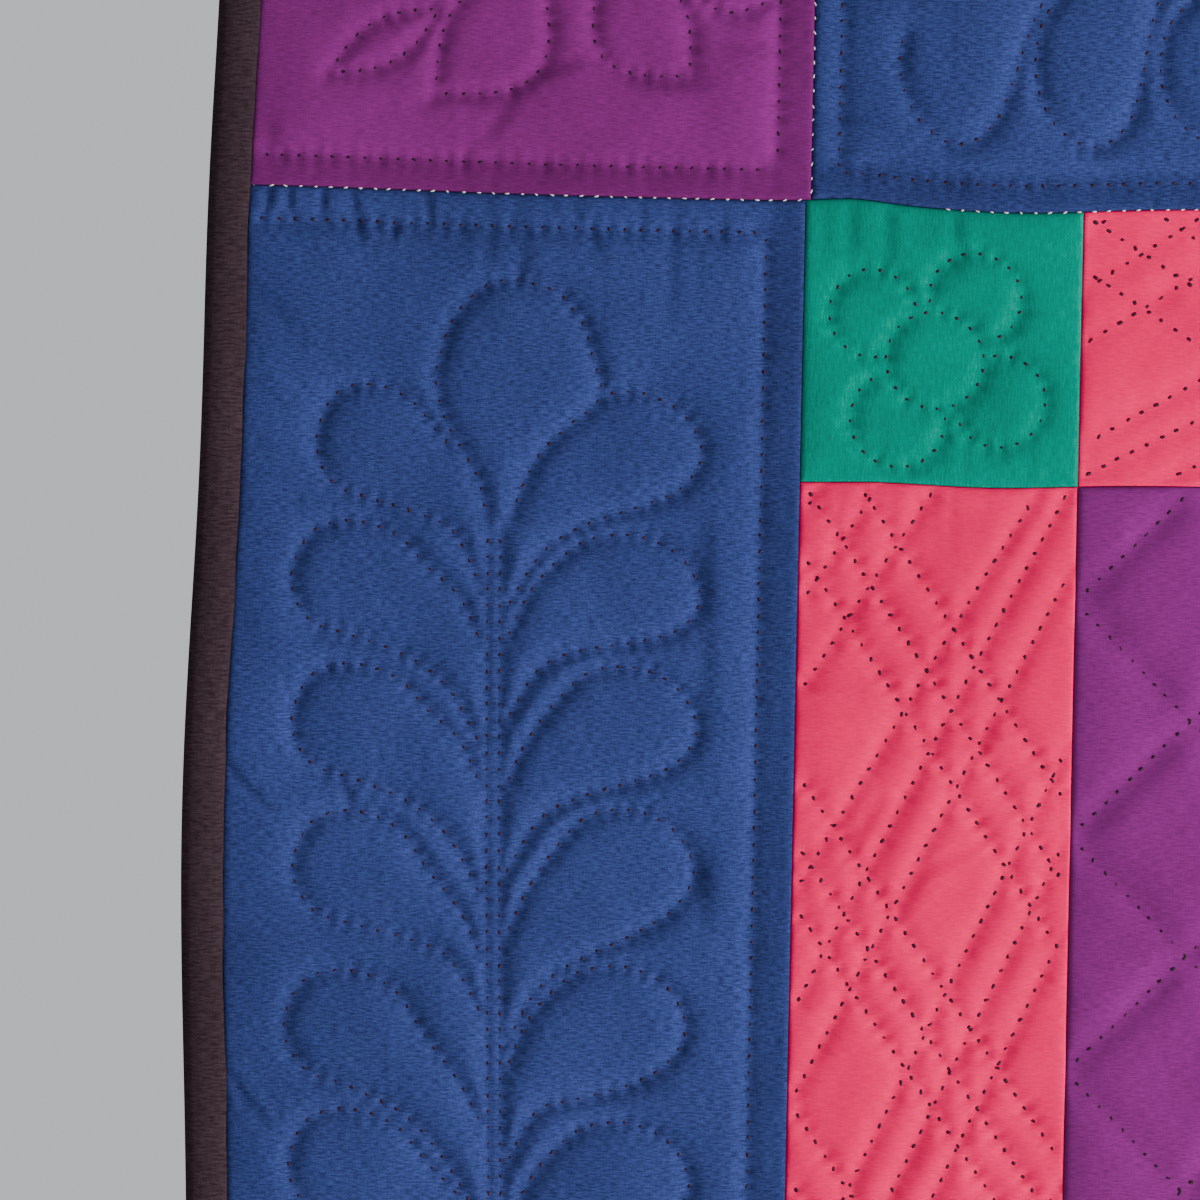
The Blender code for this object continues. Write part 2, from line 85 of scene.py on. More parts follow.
look_at = photo_to_cloth((PIXELS / 2, PIXELS / 2))
camera_data = bpy.data.cameras.new("camera")
camera_data.sensor_width = LENS_SENSOR * 1000
camera_data.lens = camera_data.sensor_width * CAMERA_DISTANCE * PIXELS_PER_METRE / PIXELS
camera = bpy.data.objects.new("camera", camera_data)
camera.location = (look_at[0], -CAMERA_DISTANCE, look_at[1])
camera.rotation_euler = (math.radians(90), -CAMERA_ROLL, 0)
bpy.context.scene.collection.objects.link(camera)
bpy.context.scene.camera = camera

soft_lamp("key", (0.95, -0.60, -0.55), (-0.27, 0.0, -0.2), 62.0, 0.45, (1.0, 0.985, 0.96))
soft_lamp("fill", (-0.5, -1.6, 0.5), (-0.1, 0.0, -0.35), 9.0, 1.6, (0.96, 0.98, 1.0))
soft_lamp("rear", (0.6, 1.5, 0.2), (0.0, 0.0, -0.35), 60.0, 1.2, (1.0, 1.0, 1.0))

FLOOR_SIZE = 3.0
FLOOR_DROP = 0.12
floor_z = solid_box[0].z - FLOOR_DROP
corners = [(x * FLOOR_SIZE, y * FLOOR_SIZE, floor_z) for x, y in ((-1, -1), (1, -1), (1, 1), (-1, 1))]
floor_mesh = bpy.data.meshes.new("floor")
floor_mesh.from_pydata(corners, [], [(0, 1, 2, 3)])
floor = bpy.data.objects.new("floor", floor_mesh)
bpy.context.scene.collection.objects.link(floor)
pale = bpy.data.materials.new("pale_floor")
pale.use_nodes = True
pale.node_tree.nodes["Principled BSDF"].inputs["Base Color"].default_value = (0.72, 0.72, 0.71, 1)
pale.node_tree.nodes["Principled BSDF"].inputs["Roughness"].default_value = 0.9
floor_mesh.materials.append(pale)

world = bpy.data.worlds.new("studio")
world.use_nodes = True
world.node_tree.nodes["Background"].inputs["Color"].default_value = (0.93, 0.95, 1.0, 1)
world.node_tree.nodes["Background"].inputs["Strength"].default_value = 0.65
bpy.context.scene.world = world


# The outer border: four strips of blue plain-woven cotton, wadded and quilted by hand in
# fern plumes, two to a strip. All cloth is laid out flat in millimetres, (u, v) along X and
# Z, filled out by its wadding, and then hung as the solids hang.
METRE = 0.001
GAP = 0.3
BINDING = 9.4
OUTER_BORDER = 114.5
INNER_BORDER = 57.9
CENTRE = 343.0
HALF = BINDING + OUTER_BORDER + INNER_BORDER + CENTRE / 2
EDGE_SEAM = HALF - BINDING
OUTER_SEAM = EDGE_SEAM - OUTER_BORDER
INNER_SEAM = CENTRE / 2
STRIP_LENGTH = 2 * OUTER_SEAM
PATCH_REAR = 0.7
STITCH_PITCH = 3.4

# Where the cloth sags: u, v, radius along u and along v, shift in x, in y (forward is -), in z
SAGS = (
    (-353.0, -255.0, 45.0, 70.0, -3.4, -1.0, 0.0),
    (-353.0, -135.0, 45.0, 40.0, -0.7, 0.0, 0.0),
    (-353.0, -60.0, 50.0, 45.0, 1.2, 0.3, 0.4),
    (-345.0, -124.0, 45.0, 45.0, 0.0, 0.0, 0.9),
    (-186.0, -126.0, 24.0, 34.0, 0.0, -0.4, -1.6),
    (-220.0, -124.0, 9.0, 14.0, 0.0, 0.0, 0.9),
    (-229.0, -182.0, 12.0, 16.0, 0.0, 0.0, -0.6),
    (-190.0, -184.0, 20.0, 14.0, 0.0, 0.0, -1.0),
    (353.0, -420.0, 70.0, 90.0, 2.4, -1.2, 0.0),
    (353.0, -110.0, 70.0, 60.0, -1.2, 0.6, 0.0),
    (-120.0, -706.0, 90.0, 60.0, 0.0, -1.6, -2.2),
    (150.0, -706.0, 110.0, 60.0, 0.0, 0.9, -1.2),
    (-260.0, -560.0, 100.0, 110.0, 1.2, 1.4, 0.0),
    (-40.0, -330.0, 130.0, 120.0, 0.0, -1.3, 0.6),
    (250.0, -600.0, 90.0, 100.0, 0.0, -1.5, 0.5),
)
SAG_DEEPENING = 12.0
WAVE_DEPTH = 2.0
WAVE_LENGTH = 360.0
WAVE_START = 0.6

# Down from the tip's top, reach to the outer side, reach to the inner side
TIP = (
    (0.0, 0.0, 0.0),
    (1.2, 4.5, 5.5),
    (2.4, 6.6, 9.4),
    (5.2, 9.5, 12.0),
    (9.5, 12.5, 15.2),
    (14.0, 13.9, 16.5),
    (20.1, 15.3, 18.3),
    (23.0, 15.0, 19.0),
    (26.4, 14.3, 16.9),
    (30.5, 12.6, 11.9),
    (35.5, 9.6, 7.0),
    (41.6, 6.1, 3.6),
    (48.7, 4.3, 1.0),
)
TIP_CENTRE = -3.4
# Reach from the stem, down from the leaf's top on the outer side, and on the inner side
LEAF = (
    (2.6, 22.5, 22.2),
    (7.3, 13.4, 12.3),
    (14.0, 8.3, 4.7),
    (20.5, 2.9, 0.8),
    (30.0, 0.3, 0.2),
    (38.5, 2.8, 4.3),
    (42.6, 12.5, 12.5),
    (38.5, 21.0, 19.6),
    (30.0, 24.0, 23.4),
    (18.0, 27.2, 27.2),
    (9.5, 31.3, 32.7),
    (2.6, 42.5, 44.0),
)
LEAF_END = 7
# How each leaf differs, from the tip down: shift of its end along the strip, its reach, shift
# near the stem of its upper edge and of its lower edge, and of its lower edge half way out
OUTER_LEAVES = (
    (-0.2, 0.855, 2.0, -0.8, -0.5),
    (-2.2, 0.96, 0.0, 1.6, -2.2),
    (-2.8, 0.94, -0.5, 2.5, -2.8),
    (-2.5, 0.93, 4.7, -3.0, -2.8),
    (0.4, 0.99, 10.0, 11.0, 1.0),
    (-1.0, 0.99, 4.0, 0.0, -1.0),
)
INNER_LEAVES = (
    (0.3, 1.01, 0.0, 2.0, 1.0),
    (-0.1, 1.0, 0.0, -5.0, -2.3),
    (-3.0, 0.985, 0.0, -3.5, -2.6),
    (-3.6, 0.97, 1.0, 1.5, 0.5),
    (-1.2, 0.93, -1.5, -4.0, 1.0),
    (1.1, 0.95, 1.5, 0.0, 1.1),
)
# Reaches at which a leaf counts as near the stem, half way out and at its end
SHIFT_REACH = (8.0, 22.0, 42.0)
# The first pair starts beside the tip, at these reaches on the outer and the inner side
FIRST_REACH = (10.3, 22.4)
LAST_TAIL = 34.0
TAIL_SLOPE = 0.3
FERNS = {
    "left": {"tip": 17.7, "size": 1.0, "first": 40.2, "reach": 1.0, "shift": 0.0, "row": 8.0},
    "top": {"tip": 8.0, "size": 0.62, "first": 18.6, "reach": 1.07, "shift": 4.5, "row": 5.5},
    "right": {"tip": 17.7, "size": 1.0, "first": 40.8, "reach": 1.0, "shift": 0.5, "row": 8.0},
    "bottom": {"tip": 15.0, "size": 0.9, "first": 37.0, "reach": 1.02, "shift": 1.5, "row": 7.0},
}
LAST_LEAF = 191.8
LEAF_PITCH = 30.3
STEM_HALF = 1.25
STEM_CLEARANCE = 4.0
STEM_FROM = 66.0
STEM_LEAN = (-6.0, -2.7)
PLUME_GAP = 3.0
END_ROW = 6.8
LINE_STEP = 1.4

sewn = []
stitches_of = {}


def settle(flat, depth):
    """Hang flat points (u, v) at their depth y: broad waves that grow down the cloth, and sags."""
    u, v = flat[:, 0], flat[:, 1]
    fallen = -v / (2 * HALF)
    place = np.column_stack((u, depth + np.zeros(len(u)), v))
    place[:, 1] -= WAVE_DEPTH * fallen * np.cos(2 * math.pi * u / WAVE_LENGTH + WAVE_START)
    for at_u, at_v, radius_u, radius_v, *shift in SAGS:
        near = np.exp(-(((u - at_u) / radius_u) ** 2) - ((v - at_v) / radius_v) ** 2)
        place += near[:, None] * np.array(shift) * np.minimum(fallen * SAG_DEEPENING, 1.0)[:, None]
    return place


def smooth_line(points, step):
    """Points about every step along a smooth curve through the given points (Catmull-Rom)."""
    points = np.asarray(points, float)
    ends = np.vstack((2 * points[0] - points[1], points, 2 * points[-1] - points[-2]))
    found = []
    for before, start, end, after in zip(ends, ends[1:], ends[2:], ends[3:]):
        count = max(1, round(np.linalg.norm(end - start) / step))
        t = (np.arange(count) / count)[:, None]
        found.append(0.5 * (2 * start + (end - before) * t
                            + (2 * before - 5 * start + 4 * end - after) * t ** 2
                            + (3 * start - before - 3 * end + after) * t ** 3))
    return np.vstack((*found, points[-1:]))


def stem_at(along):
    """How far the stem lies from the middle of its strip."""
    share = (along - STEM_FROM) / (STRIP_LENGTH / 2 - STEM_FROM)
    return STEM_LEAN[0] + (STEM_LEAN[1] - STEM_LEAN[0]) * share


def plume(fern):
    """One plume, as lines in (along, across): its tip, its stem and its pairs of leaves."""
    down, outer, inner = np.array(TIP).T * fern["size"]
    down = down + fern["tip"]
    centre = TIP_CENTRE + fern["shift"]
    loop = np.vstack((np.column_stack((down, centre - outer))[::-1],
                      np.column_stack((down, centre + inner))[1:]))
    lines = [smooth_line(loop, LINE_STEP)]
    start, end = down[-1] + STEM_CLEARANCE, STRIP_LENGTH / 2 - PLUME_GAP
    for side in (-STEM_HALF, STEM_HALF):
        lines.append(np.array([(along, stem_at(along) + fern["shift"] + side) for along in (start, end)]))
    count = round((LAST_LEAF - fern["first"]) / LEAF_PITCH)
    for row in range(count + 1):
        top = fern["first"] + (LAST_LEAF - fern["first"]) * row / count
        for number, (side, leaves) in enumerate(((-1, OUTER_LEAVES), (1, INNER_LEAVES))):
            reach, *drops = np.array(LEAF).T
            drop = drops[number]
            at_end, stretch, upper, lower, half_way = leaves[row % len(leaves)]
            shift = np.interp(reach, SHIFT_REACH[:2], (upper, at_end))
            shift[LEAF_END:] = np.interp(reach[LEAF_END:], SHIFT_REACH, (lower, half_way, at_end))
            if row == count:
                drop = np.minimum(drop, LAST_TAIL - TAIL_SLOPE * reach)
            drop = drop + shift
            if row == 0:
                begin = FIRST_REACH[number]
                first = np.searchsorted(reach[:LEAF_END], begin)
                drop = np.append(np.interp(begin, reach[:LEAF_END], drop[:LEAF_END]), drop[first:])
                reach = np.append(begin, reach[first:])
            out = np.maximum(reach * fern["reach"] * stretch, LEAF[0][0])
            across = stem_at(top + drop) + fern["shift"] + side * out
            lines.append(smooth_line(np.column_stack((top + drop, across)), LINE_STEP))
    return lines


def strip_lines(side):
    """Quilting of an outer strip, in (along, across): two plumes base to base, and three rows."""
    fern = FERNS[side]
    one = plume(fern)
    other = [line * (-1, 1) + (STRIP_LENGTH, 0) for line in one]
    row = OUTER_BORDER / 2 - fern["row"]
    outer = -OUTER_BORDER / 2
    far = STRIP_LENGTH - END_ROW
    rows = [np.array(((END_ROW, row), (far, row))),
            np.array(((END_ROW, outer), (END_ROW, row))),
            np.array(((far, outer), (far, row)))]
    return one + other + rows


def clipped(line, box):
    """The runs of a line inside a box (low u, high u, low v, high v)."""
    low_u, high_u, low_v, high_v = box
    runs, run = [], []
    for start, end in zip(line, line[1:]):
        enter, leave = 0.0, 1.0
        for value, change, low, high in ((start[0], end[0] - start[0], low_u, high_u),
                                         (start[1], end[1] - start[1], low_v, high_v)):
            if abs(change) < 1e-9:
                if value < low or value > high:
                    enter = 2.0
                continue
            first, second = sorted(((low - value) / change, (high - value) / change))
            enter, leave = max(enter, first), min(leave, second)
        if enter >= leave:
            if run:
                runs.append(run)
            run = []
            continue
        if not run:
            run = [start + (end - start) * enter]
        run.append(start + (end - start) * leave)
        if leave < 1:
            runs.append(run)
            run = []
    if run:
        runs.append(run)
    return [np.array(found) for found in runs if len(found) > 1]


FIELD_REACH = 14.0


def stitch_field(columns, rows, lines):
    """For each point of a grid, its distance to the nearest line and the way along that line."""
    near = np.full((len(rows), len(columns)), FIELD_REACH)
    along = np.zeros((len(rows), len(columns)))
    for line in lines:
        low, high = line.min(axis=0) - FIELD_REACH, line.max(axis=0) + FIELD_REACH
        c0, c1 = np.searchsorted(columns, (low[0], high[0]))
        r0, r1 = np.searchsorted(rows, (low[1], high[1]))
        if c0 >= c1 or r0 >= r1:
            continue
        u = columns[None, c0:c1, None]
        v = rows[r0:r1, None, None]
        start, way = line[:-1], np.diff(line, axis=0)
        length = np.maximum(np.linalg.norm(way, axis=1), 1e-6)
        share = ((u - start[:, 0]) * way[:, 0] + (v - start[:, 1]) * way[:, 1]) / length ** 2
        share = np.clip(share, 0, 1)
        gap = np.hypot(u - start[:, 0] - share * way[:, 0], v - start[:, 1] - share * way[:, 1])
        best = np.argmin(gap, axis=2)[..., None]
        gap = np.take_along_axis(gap, best, 2)[..., 0]
        passed = np.concatenate(([0.0], np.cumsum(length)))[:-1]
        way_along = (passed + share * length)
        way_along = np.take_along_axis(way_along, best, 2)[..., 0]
        closer = gap < near[r0:r1, c0:c1]
        near[r0:r1, c0:c1] = np.where(closer, gap, near[r0:r1, c0:c1])
        along[r0:r1, c0:c1] = np.where(closer, way_along, along[r0:r1, c0:c1])
    return near, along


SEAM_GAP = 0.1
SEAM_THICKNESS = 1.05
LOFT = 1.15
TROUGH = 2.2
DIMPLE = 0.2
DIMPLE_REACH = 1.9
ROLL_THICKNESS = 0.78
ROLL_REACH = 0.35
FLAT_BY_SEAM = 5.0
RIDGE = 0.25
RIDGE_SLOPE = 0.4
# How much flatter the wadding lies by a seam, and over cloth that is turned under it
SEAM_FLATNESS = 0.75
BAND_FLATNESS = 0.8
# How unevenly the stitches pull: by how much, and the two waves that this follows
PULL_CHANGE = 0.6
PULL_WAVES = (0.53, 0.171)
GATHER_PITCH = 7.5
GATHER_WIDTH = 1.3
GATHER_START = 1.5
GATHER_LENGTHS = (5, 16)
GATHER_DEPTHS = (0.05, 0.3)
CREASE_SHOULDER = 0.45
CREASE_SPREAD = 2.2
CREASE_ENDS = (0.06, 0.94)
RUMPLE_WAVES = 9
RUMPLE_LENGTHS = (9, 45)
RUMPLE_STEEPNESS = 0.0032
RUMPLE_BEND = (1.2, 0.37)
RUMPLE_START = 4.0


def rumple(u, v, seed):
    """Small unevenness of the cloth: a few waves of 9 to 45 mm, in fixed but mixed directions."""
    draw = np.random.default_rng(seed)
    total = np.zeros(np.broadcast(u, v).shape)
    strength, slowness = RUMPLE_BEND
    for length in np.geomspace(*RUMPLE_LENGTHS, RUMPLE_WAVES):
        turn, start = draw.uniform(0, 2 * math.pi, 2)
        wave = 2 * math.pi / length
        bend = strength * np.sin(wave * slowness * (u * math.sin(turn) - v * math.cos(turn)) + start)
        phase = wave * (u * math.cos(turn) + v * math.sin(turn)) + start + bend
        total += RUMPLE_STEEPNESS * length * np.sin(phase)
    return total


def from_side(side, columns, rows):
    """How far each point of a grid lies from one side of the patch, and its place along that side."""
    u, v = np.meshgrid(columns, rows)
    away = {"low_u": u - columns[0], "high_u": columns[-1] - u, "low_v": v - rows[0], "high_v": rows[-1] - v}
    return away[side], u - columns[0] if side.endswith("v") else v - rows[0]


def turned_under(columns, rows, ridges):
    """Where a seam's cloth is turned under the patch: 1 in a band along each named side, else 0."""
    share = np.zeros((len(rows), len(columns)))
    for side, width in ridges:
        away = from_side(side, columns, rows)[0]
        share = np.maximum(share, 1 / (1 + np.exp((away - width) / RIDGE_SLOPE)))
    return share


def seam_gathers(side, length, seed):
    """Small creases that the sewing draws in square to a seam: place along it, length, depth."""
    draw = np.random.default_rng(seed)
    count = round(length / GATHER_PITCH)
    place = (np.arange(count) + draw.uniform(0.1, 0.9, count)) * length / count
    return side, place, draw.uniform(*GATHER_LENGTHS, count), draw.uniform(*GATHER_DEPTHS, count)


def gathers_round(width, height, seed):
    """The gathers along all four seams of a patch."""
    seams = (("low_u", height), ("high_u", height), ("low_v", width), ("high_v", width))
    return [seam_gathers(side, length, seed + number) for number, (side, length) in enumerate(seams)]


def trough(off, width):
    """A crease's section: a dip of depth 1 with a low swell on either side."""
    return np.exp(-(off / width) ** 2) - CREASE_SHOULDER * np.exp(-(off / (CREASE_SPREAD * width)) ** 2)


def crease_field(columns, rows, creases):
    """How far the creases sink a patch, and the shade painted along each crease's floor, 0 to 1."""
    dip, painted_crease_shade = np.zeros((2, len(rows), len(columns)))
    for points, width, depth in creases:
        off, way = stitch_field(columns, rows, [np.array(points)])
        length = np.linalg.norm(np.diff(points, axis=0), axis=1).sum()
        fade = np.sin(math.pi * np.clip(way / length, *CREASE_ENDS)) ** 0.5
        dip += depth * fade * trough(off, width)
        # Painted shade: darkness for the colour along each crease's floor, stronger for deeper creases
        painted_crease_shade = np.maximum(painted_crease_shade, min(depth, 1.0) * fade * np.exp(-(off / width) ** 2))
    return dip, painted_crease_shade


def thickness_of(columns, rows, lines, loft, band, dip, gathers, seed):
    """How thick the filled patch is: sunk along stitches and seams, with dimples, gathers, creases."""
    near, along = stitch_field(columns, rows, lines)
    u, v = columns[None, :], rows[:, None]
    to_rim = np.minimum(np.minimum(u - columns[0], columns[-1] - u), np.minimum(v - rows[0], rows[-1] - v))
    crown = near ** 2 / (near ** 2 + TROUGH ** 2) * (1 - SEAM_FLATNESS * np.exp(-to_rim / FLAT_BY_SEAM))
    body = SEAM_THICKNESS + loft * crown * (1 - BAND_FLATNESS * band) + RIDGE * band - dip
    pull = 0.5 + 0.5 * np.cos(2 * math.pi * (along / STITCH_PITCH - 0.5))
    uneven = 1 + PULL_CHANGE * np.sin(along * PULL_WAVES[0] + seed) * np.sin(along * PULL_WAVES[1])
    body -= DIMPLE * uneven * np.exp(-(near / DIMPLE_REACH) ** 2) * 2 * pull
    body += rumple(u, v, seed) * (1 - np.exp(-to_rim / RUMPLE_START))
    for side, places, lengths, depths in gathers:
        away, across = from_side(side, columns, rows)
        for place, length, depth in zip(places, lengths, depths):
            fade = np.exp(-(away / length) ** 2) * (1 - np.exp(-away / GATHER_START))
            body -= depth * fade * trough(across - place, GATHER_WIDTH)
    roll = 1 - np.exp(-to_rim / ROLL_REACH)
    return ROLL_THICKNESS + (body - ROLL_THICKNESS) * roll


TURN_WIDTH = 1.8
TURN_POINTS = (0.0, 0.25, 0.6, 1.1)


def spread(low, high, step):
    """Even steps between two seams, with close ones where the cloth turns down into the seam."""
    turn = np.array(TURN_POINTS)
    count = round((high - low - 2 * TURN_WIDTH) / step) + 1
    inner = np.linspace(low + TURN_WIDTH, high - TURN_WIDTH, count)
    return np.concatenate((low + turn, inner, high - turn[::-1]))


def closed_mesh(name, points, faces):
    """An object of one mesh, from points in millimetres, with its faces shaded smooth."""
    mesh = bpy.data.meshes.new(name)
    mesh.from_pydata((points * METRE).tolist(), [], faces)
    mesh.polygons.foreach_set("use_smooth", np.ones(len(mesh.polygons), bool))
    mesh.update()
    piece = bpy.data.objects.new(name, mesh)
    bpy.context.scene.collection.objects.link(piece)
    return piece


def grid_faces(down, across):
    """The quads of a grid, anticlockwise, and its rim, anticlockwise from the first corner."""
    number = np.arange(across * down).reshape(down, across)
    quads = np.stack((number[:-1, :-1], number[:-1, 1:], number[1:, 1:], number[1:, :-1]), -1)
    rim = np.concatenate((number[0, :-1], number[:-1, -1], number[-1, :0:-1], number[:0:-1, 0]))
    return quads.reshape(-1, 4), rim


def coarse_side(rim_flat, step):
    """A plain side for a fine rim: the rim's points and a coarse grid inside, in triangles."""
    low, high = rim_flat.min(axis=0) + step / 3, rim_flat.max(axis=0) - step / 3
    columns = np.linspace(low[0], high[0], max(2, round((high[0] - low[0]) / step) + 1))
    rows = np.linspace(low[1], high[1], max(2, round((high[1] - low[1]) / step) + 1))
    inside = np.stack(np.meshgrid(columns, rows), -1).reshape(-1, 2)
    flat = [Vector(point) for point in np.vstack((rim_flat, inside))]
    count = len(rim_flat)
    edges = [(i, (i + 1) % count) for i in range(count)]
    found = delaunay_2d_cdt(flat, edges, [list(range(count))], 1, 1e-5)
    place_of = {source: index for index, sources in enumerate(found[3]) for source in sources}
    rim = np.array([place_of[i] for i in range(count)])
    return np.array([tuple(point) for point in found[0]]), np.array(found[2]), rim


def between(values, columns, rows, points):
    """The grid's values at points, by straight interpolation both ways."""
    c = np.clip(np.searchsorted(columns, points[:, 0]) - 1, 0, len(columns) - 2)
    r = np.clip(np.searchsorted(rows, points[:, 1]) - 1, 0, len(rows) - 2)
    s = np.clip((points[:, 0] - columns[c]) / (columns[c + 1] - columns[c]), 0, 1)
    t = np.clip((points[:, 1] - rows[r]) / (rows[r + 1] - rows[r]), 0, 1)
    low = values[r, c] * (1 - s) + values[r, c + 1] * s
    return low * (1 - t) + (values[r + 1, c] * (1 - s) + values[r + 1, c + 1] * s) * t


# How hand stitches vary: place along the line, turn, and shares of their length and width
STITCH_SCATTER = 0.22
STITCH_TURN = 0.35
STITCH_LENGTHS = (0.75, 1.2)
STITCH_WIDTHS = (0.85, 1.15)
# The last stitch of a line stays at least this share of a pitch short of its end
STITCH_END = 0.2


def stitch_places(lines, pitch, start, draw):
    """The middle and the direction of each stitch, a pitch apart along each line."""
    middles, ways = [], []
    for line in lines:
        length = np.linalg.norm(np.diff(line, axis=0), axis=1)
        passed = np.concatenate(([0.0], np.cumsum(length)))
        at = np.arange(start * pitch, passed[-1] - STITCH_END * pitch, pitch)
        at = at + draw.uniform(-STITCH_SCATTER, STITCH_SCATTER, len(at))
        piece = np.clip(np.searchsorted(passed, at) - 1, 0, len(length) - 1)
        share = (at - passed[piece]) / length[piece]
        middles.append(line[piece] + (line[piece + 1] - line[piece]) * share[:, None])
        ways.append((line[piece + 1] - line[piece]) / length[piece][:, None])
    return np.vstack(middles), np.vstack(ways)


def thread_bits(name, flat, depth, ways, length, width, height, facing, rings, draw):
    """A mesh of short threads: each is one ring or more of four points, with a sunk point at each end."""
    count = len(flat)
    turn = draw.normal(0, STITCH_TURN, count)
    cos, sin = np.cos(turn), np.sin(turn)
    ways = np.column_stack((ways[:, 0] * cos - ways[:, 1] * sin, ways[:, 0] * sin + ways[:, 1] * cos))
    half = length / 2 * draw.uniform(*STITCH_LENGTHS, count)
    side = width / 2 * draw.uniform(*STITCH_WIDTHS, count)
    along = np.concatenate(([-1.0], np.repeat(rings, 4), [1.0]))
    across = np.concatenate(([0.0], np.tile((-1.0, 0.0, 1.0, 0.0), len(rings)), [0.0]))
    rise = np.concatenate(([-0.7], np.tile((0.1, 1.0, 0.1, -0.9), len(rings)), [-0.7])) * height
    size = len(along)
    normal = np.column_stack((-ways[:, 1], ways[:, 0]))
    u = flat[:, :1] + ways[:, :1] * half[:, None] * along + normal[:, :1] * side[:, None] * across
    v = flat[:, 1:] + ways[:, 1:] * half[:, None] * along + normal[:, 1:] * side[:, None] * across
    y = depth[:, None] + facing * rise
    points = settle(np.column_stack((u.ravel(), v.ravel())), y.ravel())
    sides = [(ring + i, ring + (i + 1) % 4, ring + 4 + (i + 1) % 4, ring + 4 + i)
             for ring in range(1, size - 5, 4) for i in range(4)]
    tips = [(0, 1 + (i + 1) % 4, 1 + i) for i in range(4)]
    tips += [(size - 1, size - 5 + i, size - 5 + (i + 1) % 4) for i in range(4)]
    shift = (np.arange(count) * size)[:, None, None]
    faces = []
    for kind in (sides, tips):
        if kind:
            turned = np.array(kind)[:, ::-facing]
            faces += (turned[None] + shift).reshape(-1, turned.shape[1]).tolist()
    return closed_mesh(name, points, faces)


def with_values(node, values):
    """The node, with its own sockets set by name."""
    for name, value in values.items():
        node.inputs[name].default_value = value
    return node


# Shares of the level and the upright threads in the cloth's tone, and of their crossings
# in its relief
THREAD_SHARES = (0.76, 0.24)
CROSSING_SHARE = 0.22


def weave_group():
    """Plain weave: two sets of threads cross at a pitch; single threads run thicker for a way.

    Threads gives the lighter and darker threads, Blotch the broad fading, Height the relief."""
    group = bpy.data.node_groups.new("plain_weave", "ShaderNodeTree")
    for name, kind in (("Vector", "NodeSocketVector"), ("Thread Scale", "NodeSocketFloat"),
                       ("Slub Length", "NodeSocketFloat")):
        group.interface.new_socket(name, in_out="INPUT", socket_type=kind)
    for name in ("Threads", "Blotch", "Height"):
        group.interface.new_socket(name, in_out="OUTPUT", socket_type="NodeSocketFloat")
    nodes, links = group.nodes, group.links
    start, end = nodes.new("NodeGroupInput"), nodes.new("NodeGroupOutput")

    def math_node(operation, first, second):
        """One Math node, from sockets or plain numbers."""
        node = nodes.new("ShaderNodeMath")
        node.operation = operation
        for socket, value in zip(node.inputs, (first, second)):
            if isinstance(value, (int, float)):
                socket.default_value = value
            else:
                links.new(value, socket)
        return node.outputs[0]

    apart = nodes.new("ShaderNodeSeparateXYZ")
    links.new(start.outputs["Vector"], apart.inputs[0])
    streaks = []
    for long_axis in (0, 2):
        join = nodes.new("ShaderNodeCombineXYZ")
        for axis in (0, 2):
            scale = start.outputs["Slub Length" if axis == long_axis else "Thread Scale"]
            links.new(math_node("MULTIPLY", apart.outputs[axis], scale), join.inputs[axis])
        noise = with_values(nodes.new("ShaderNodeTexNoise"), {"Scale": 1.0, "Detail": 2.0, "Roughness": 0.6})
        links.new(join.outputs[0], noise.inputs["Vector"])
        streaks.append(noise.outputs[0])
    broad = with_values(nodes.new("ShaderNodeTexNoise"), {"Scale": 22.0, "Detail": 3.0})
    links.new(start.outputs["Vector"], broad.inputs["Vector"])
    waves = []
    for axis in (0, 2):
        turns = math_node("MULTIPLY", apart.outputs[axis], start.outputs["Thread Scale"])
        waves.append(math_node("SINE", math_node("MULTIPLY", turns, math.pi), 0.0))
    crossed = math_node("MULTIPLY", waves[0], waves[1])
    level, upright = [math_node("MULTIPLY", streak, share) for streak, share in zip(streaks, THREAD_SHARES)]
    threads = math_node("ADD", level, upright)
    height = math_node("ADD", threads, math_node("MULTIPLY", crossed, CROSSING_SHARE))
    links.new(threads, end.inputs["Threads"])
    links.new(broad.outputs[0], end.inputs["Blotch"])
    links.new(height, end.inputs["Height"])
    return group


WEAVE = weave_group()


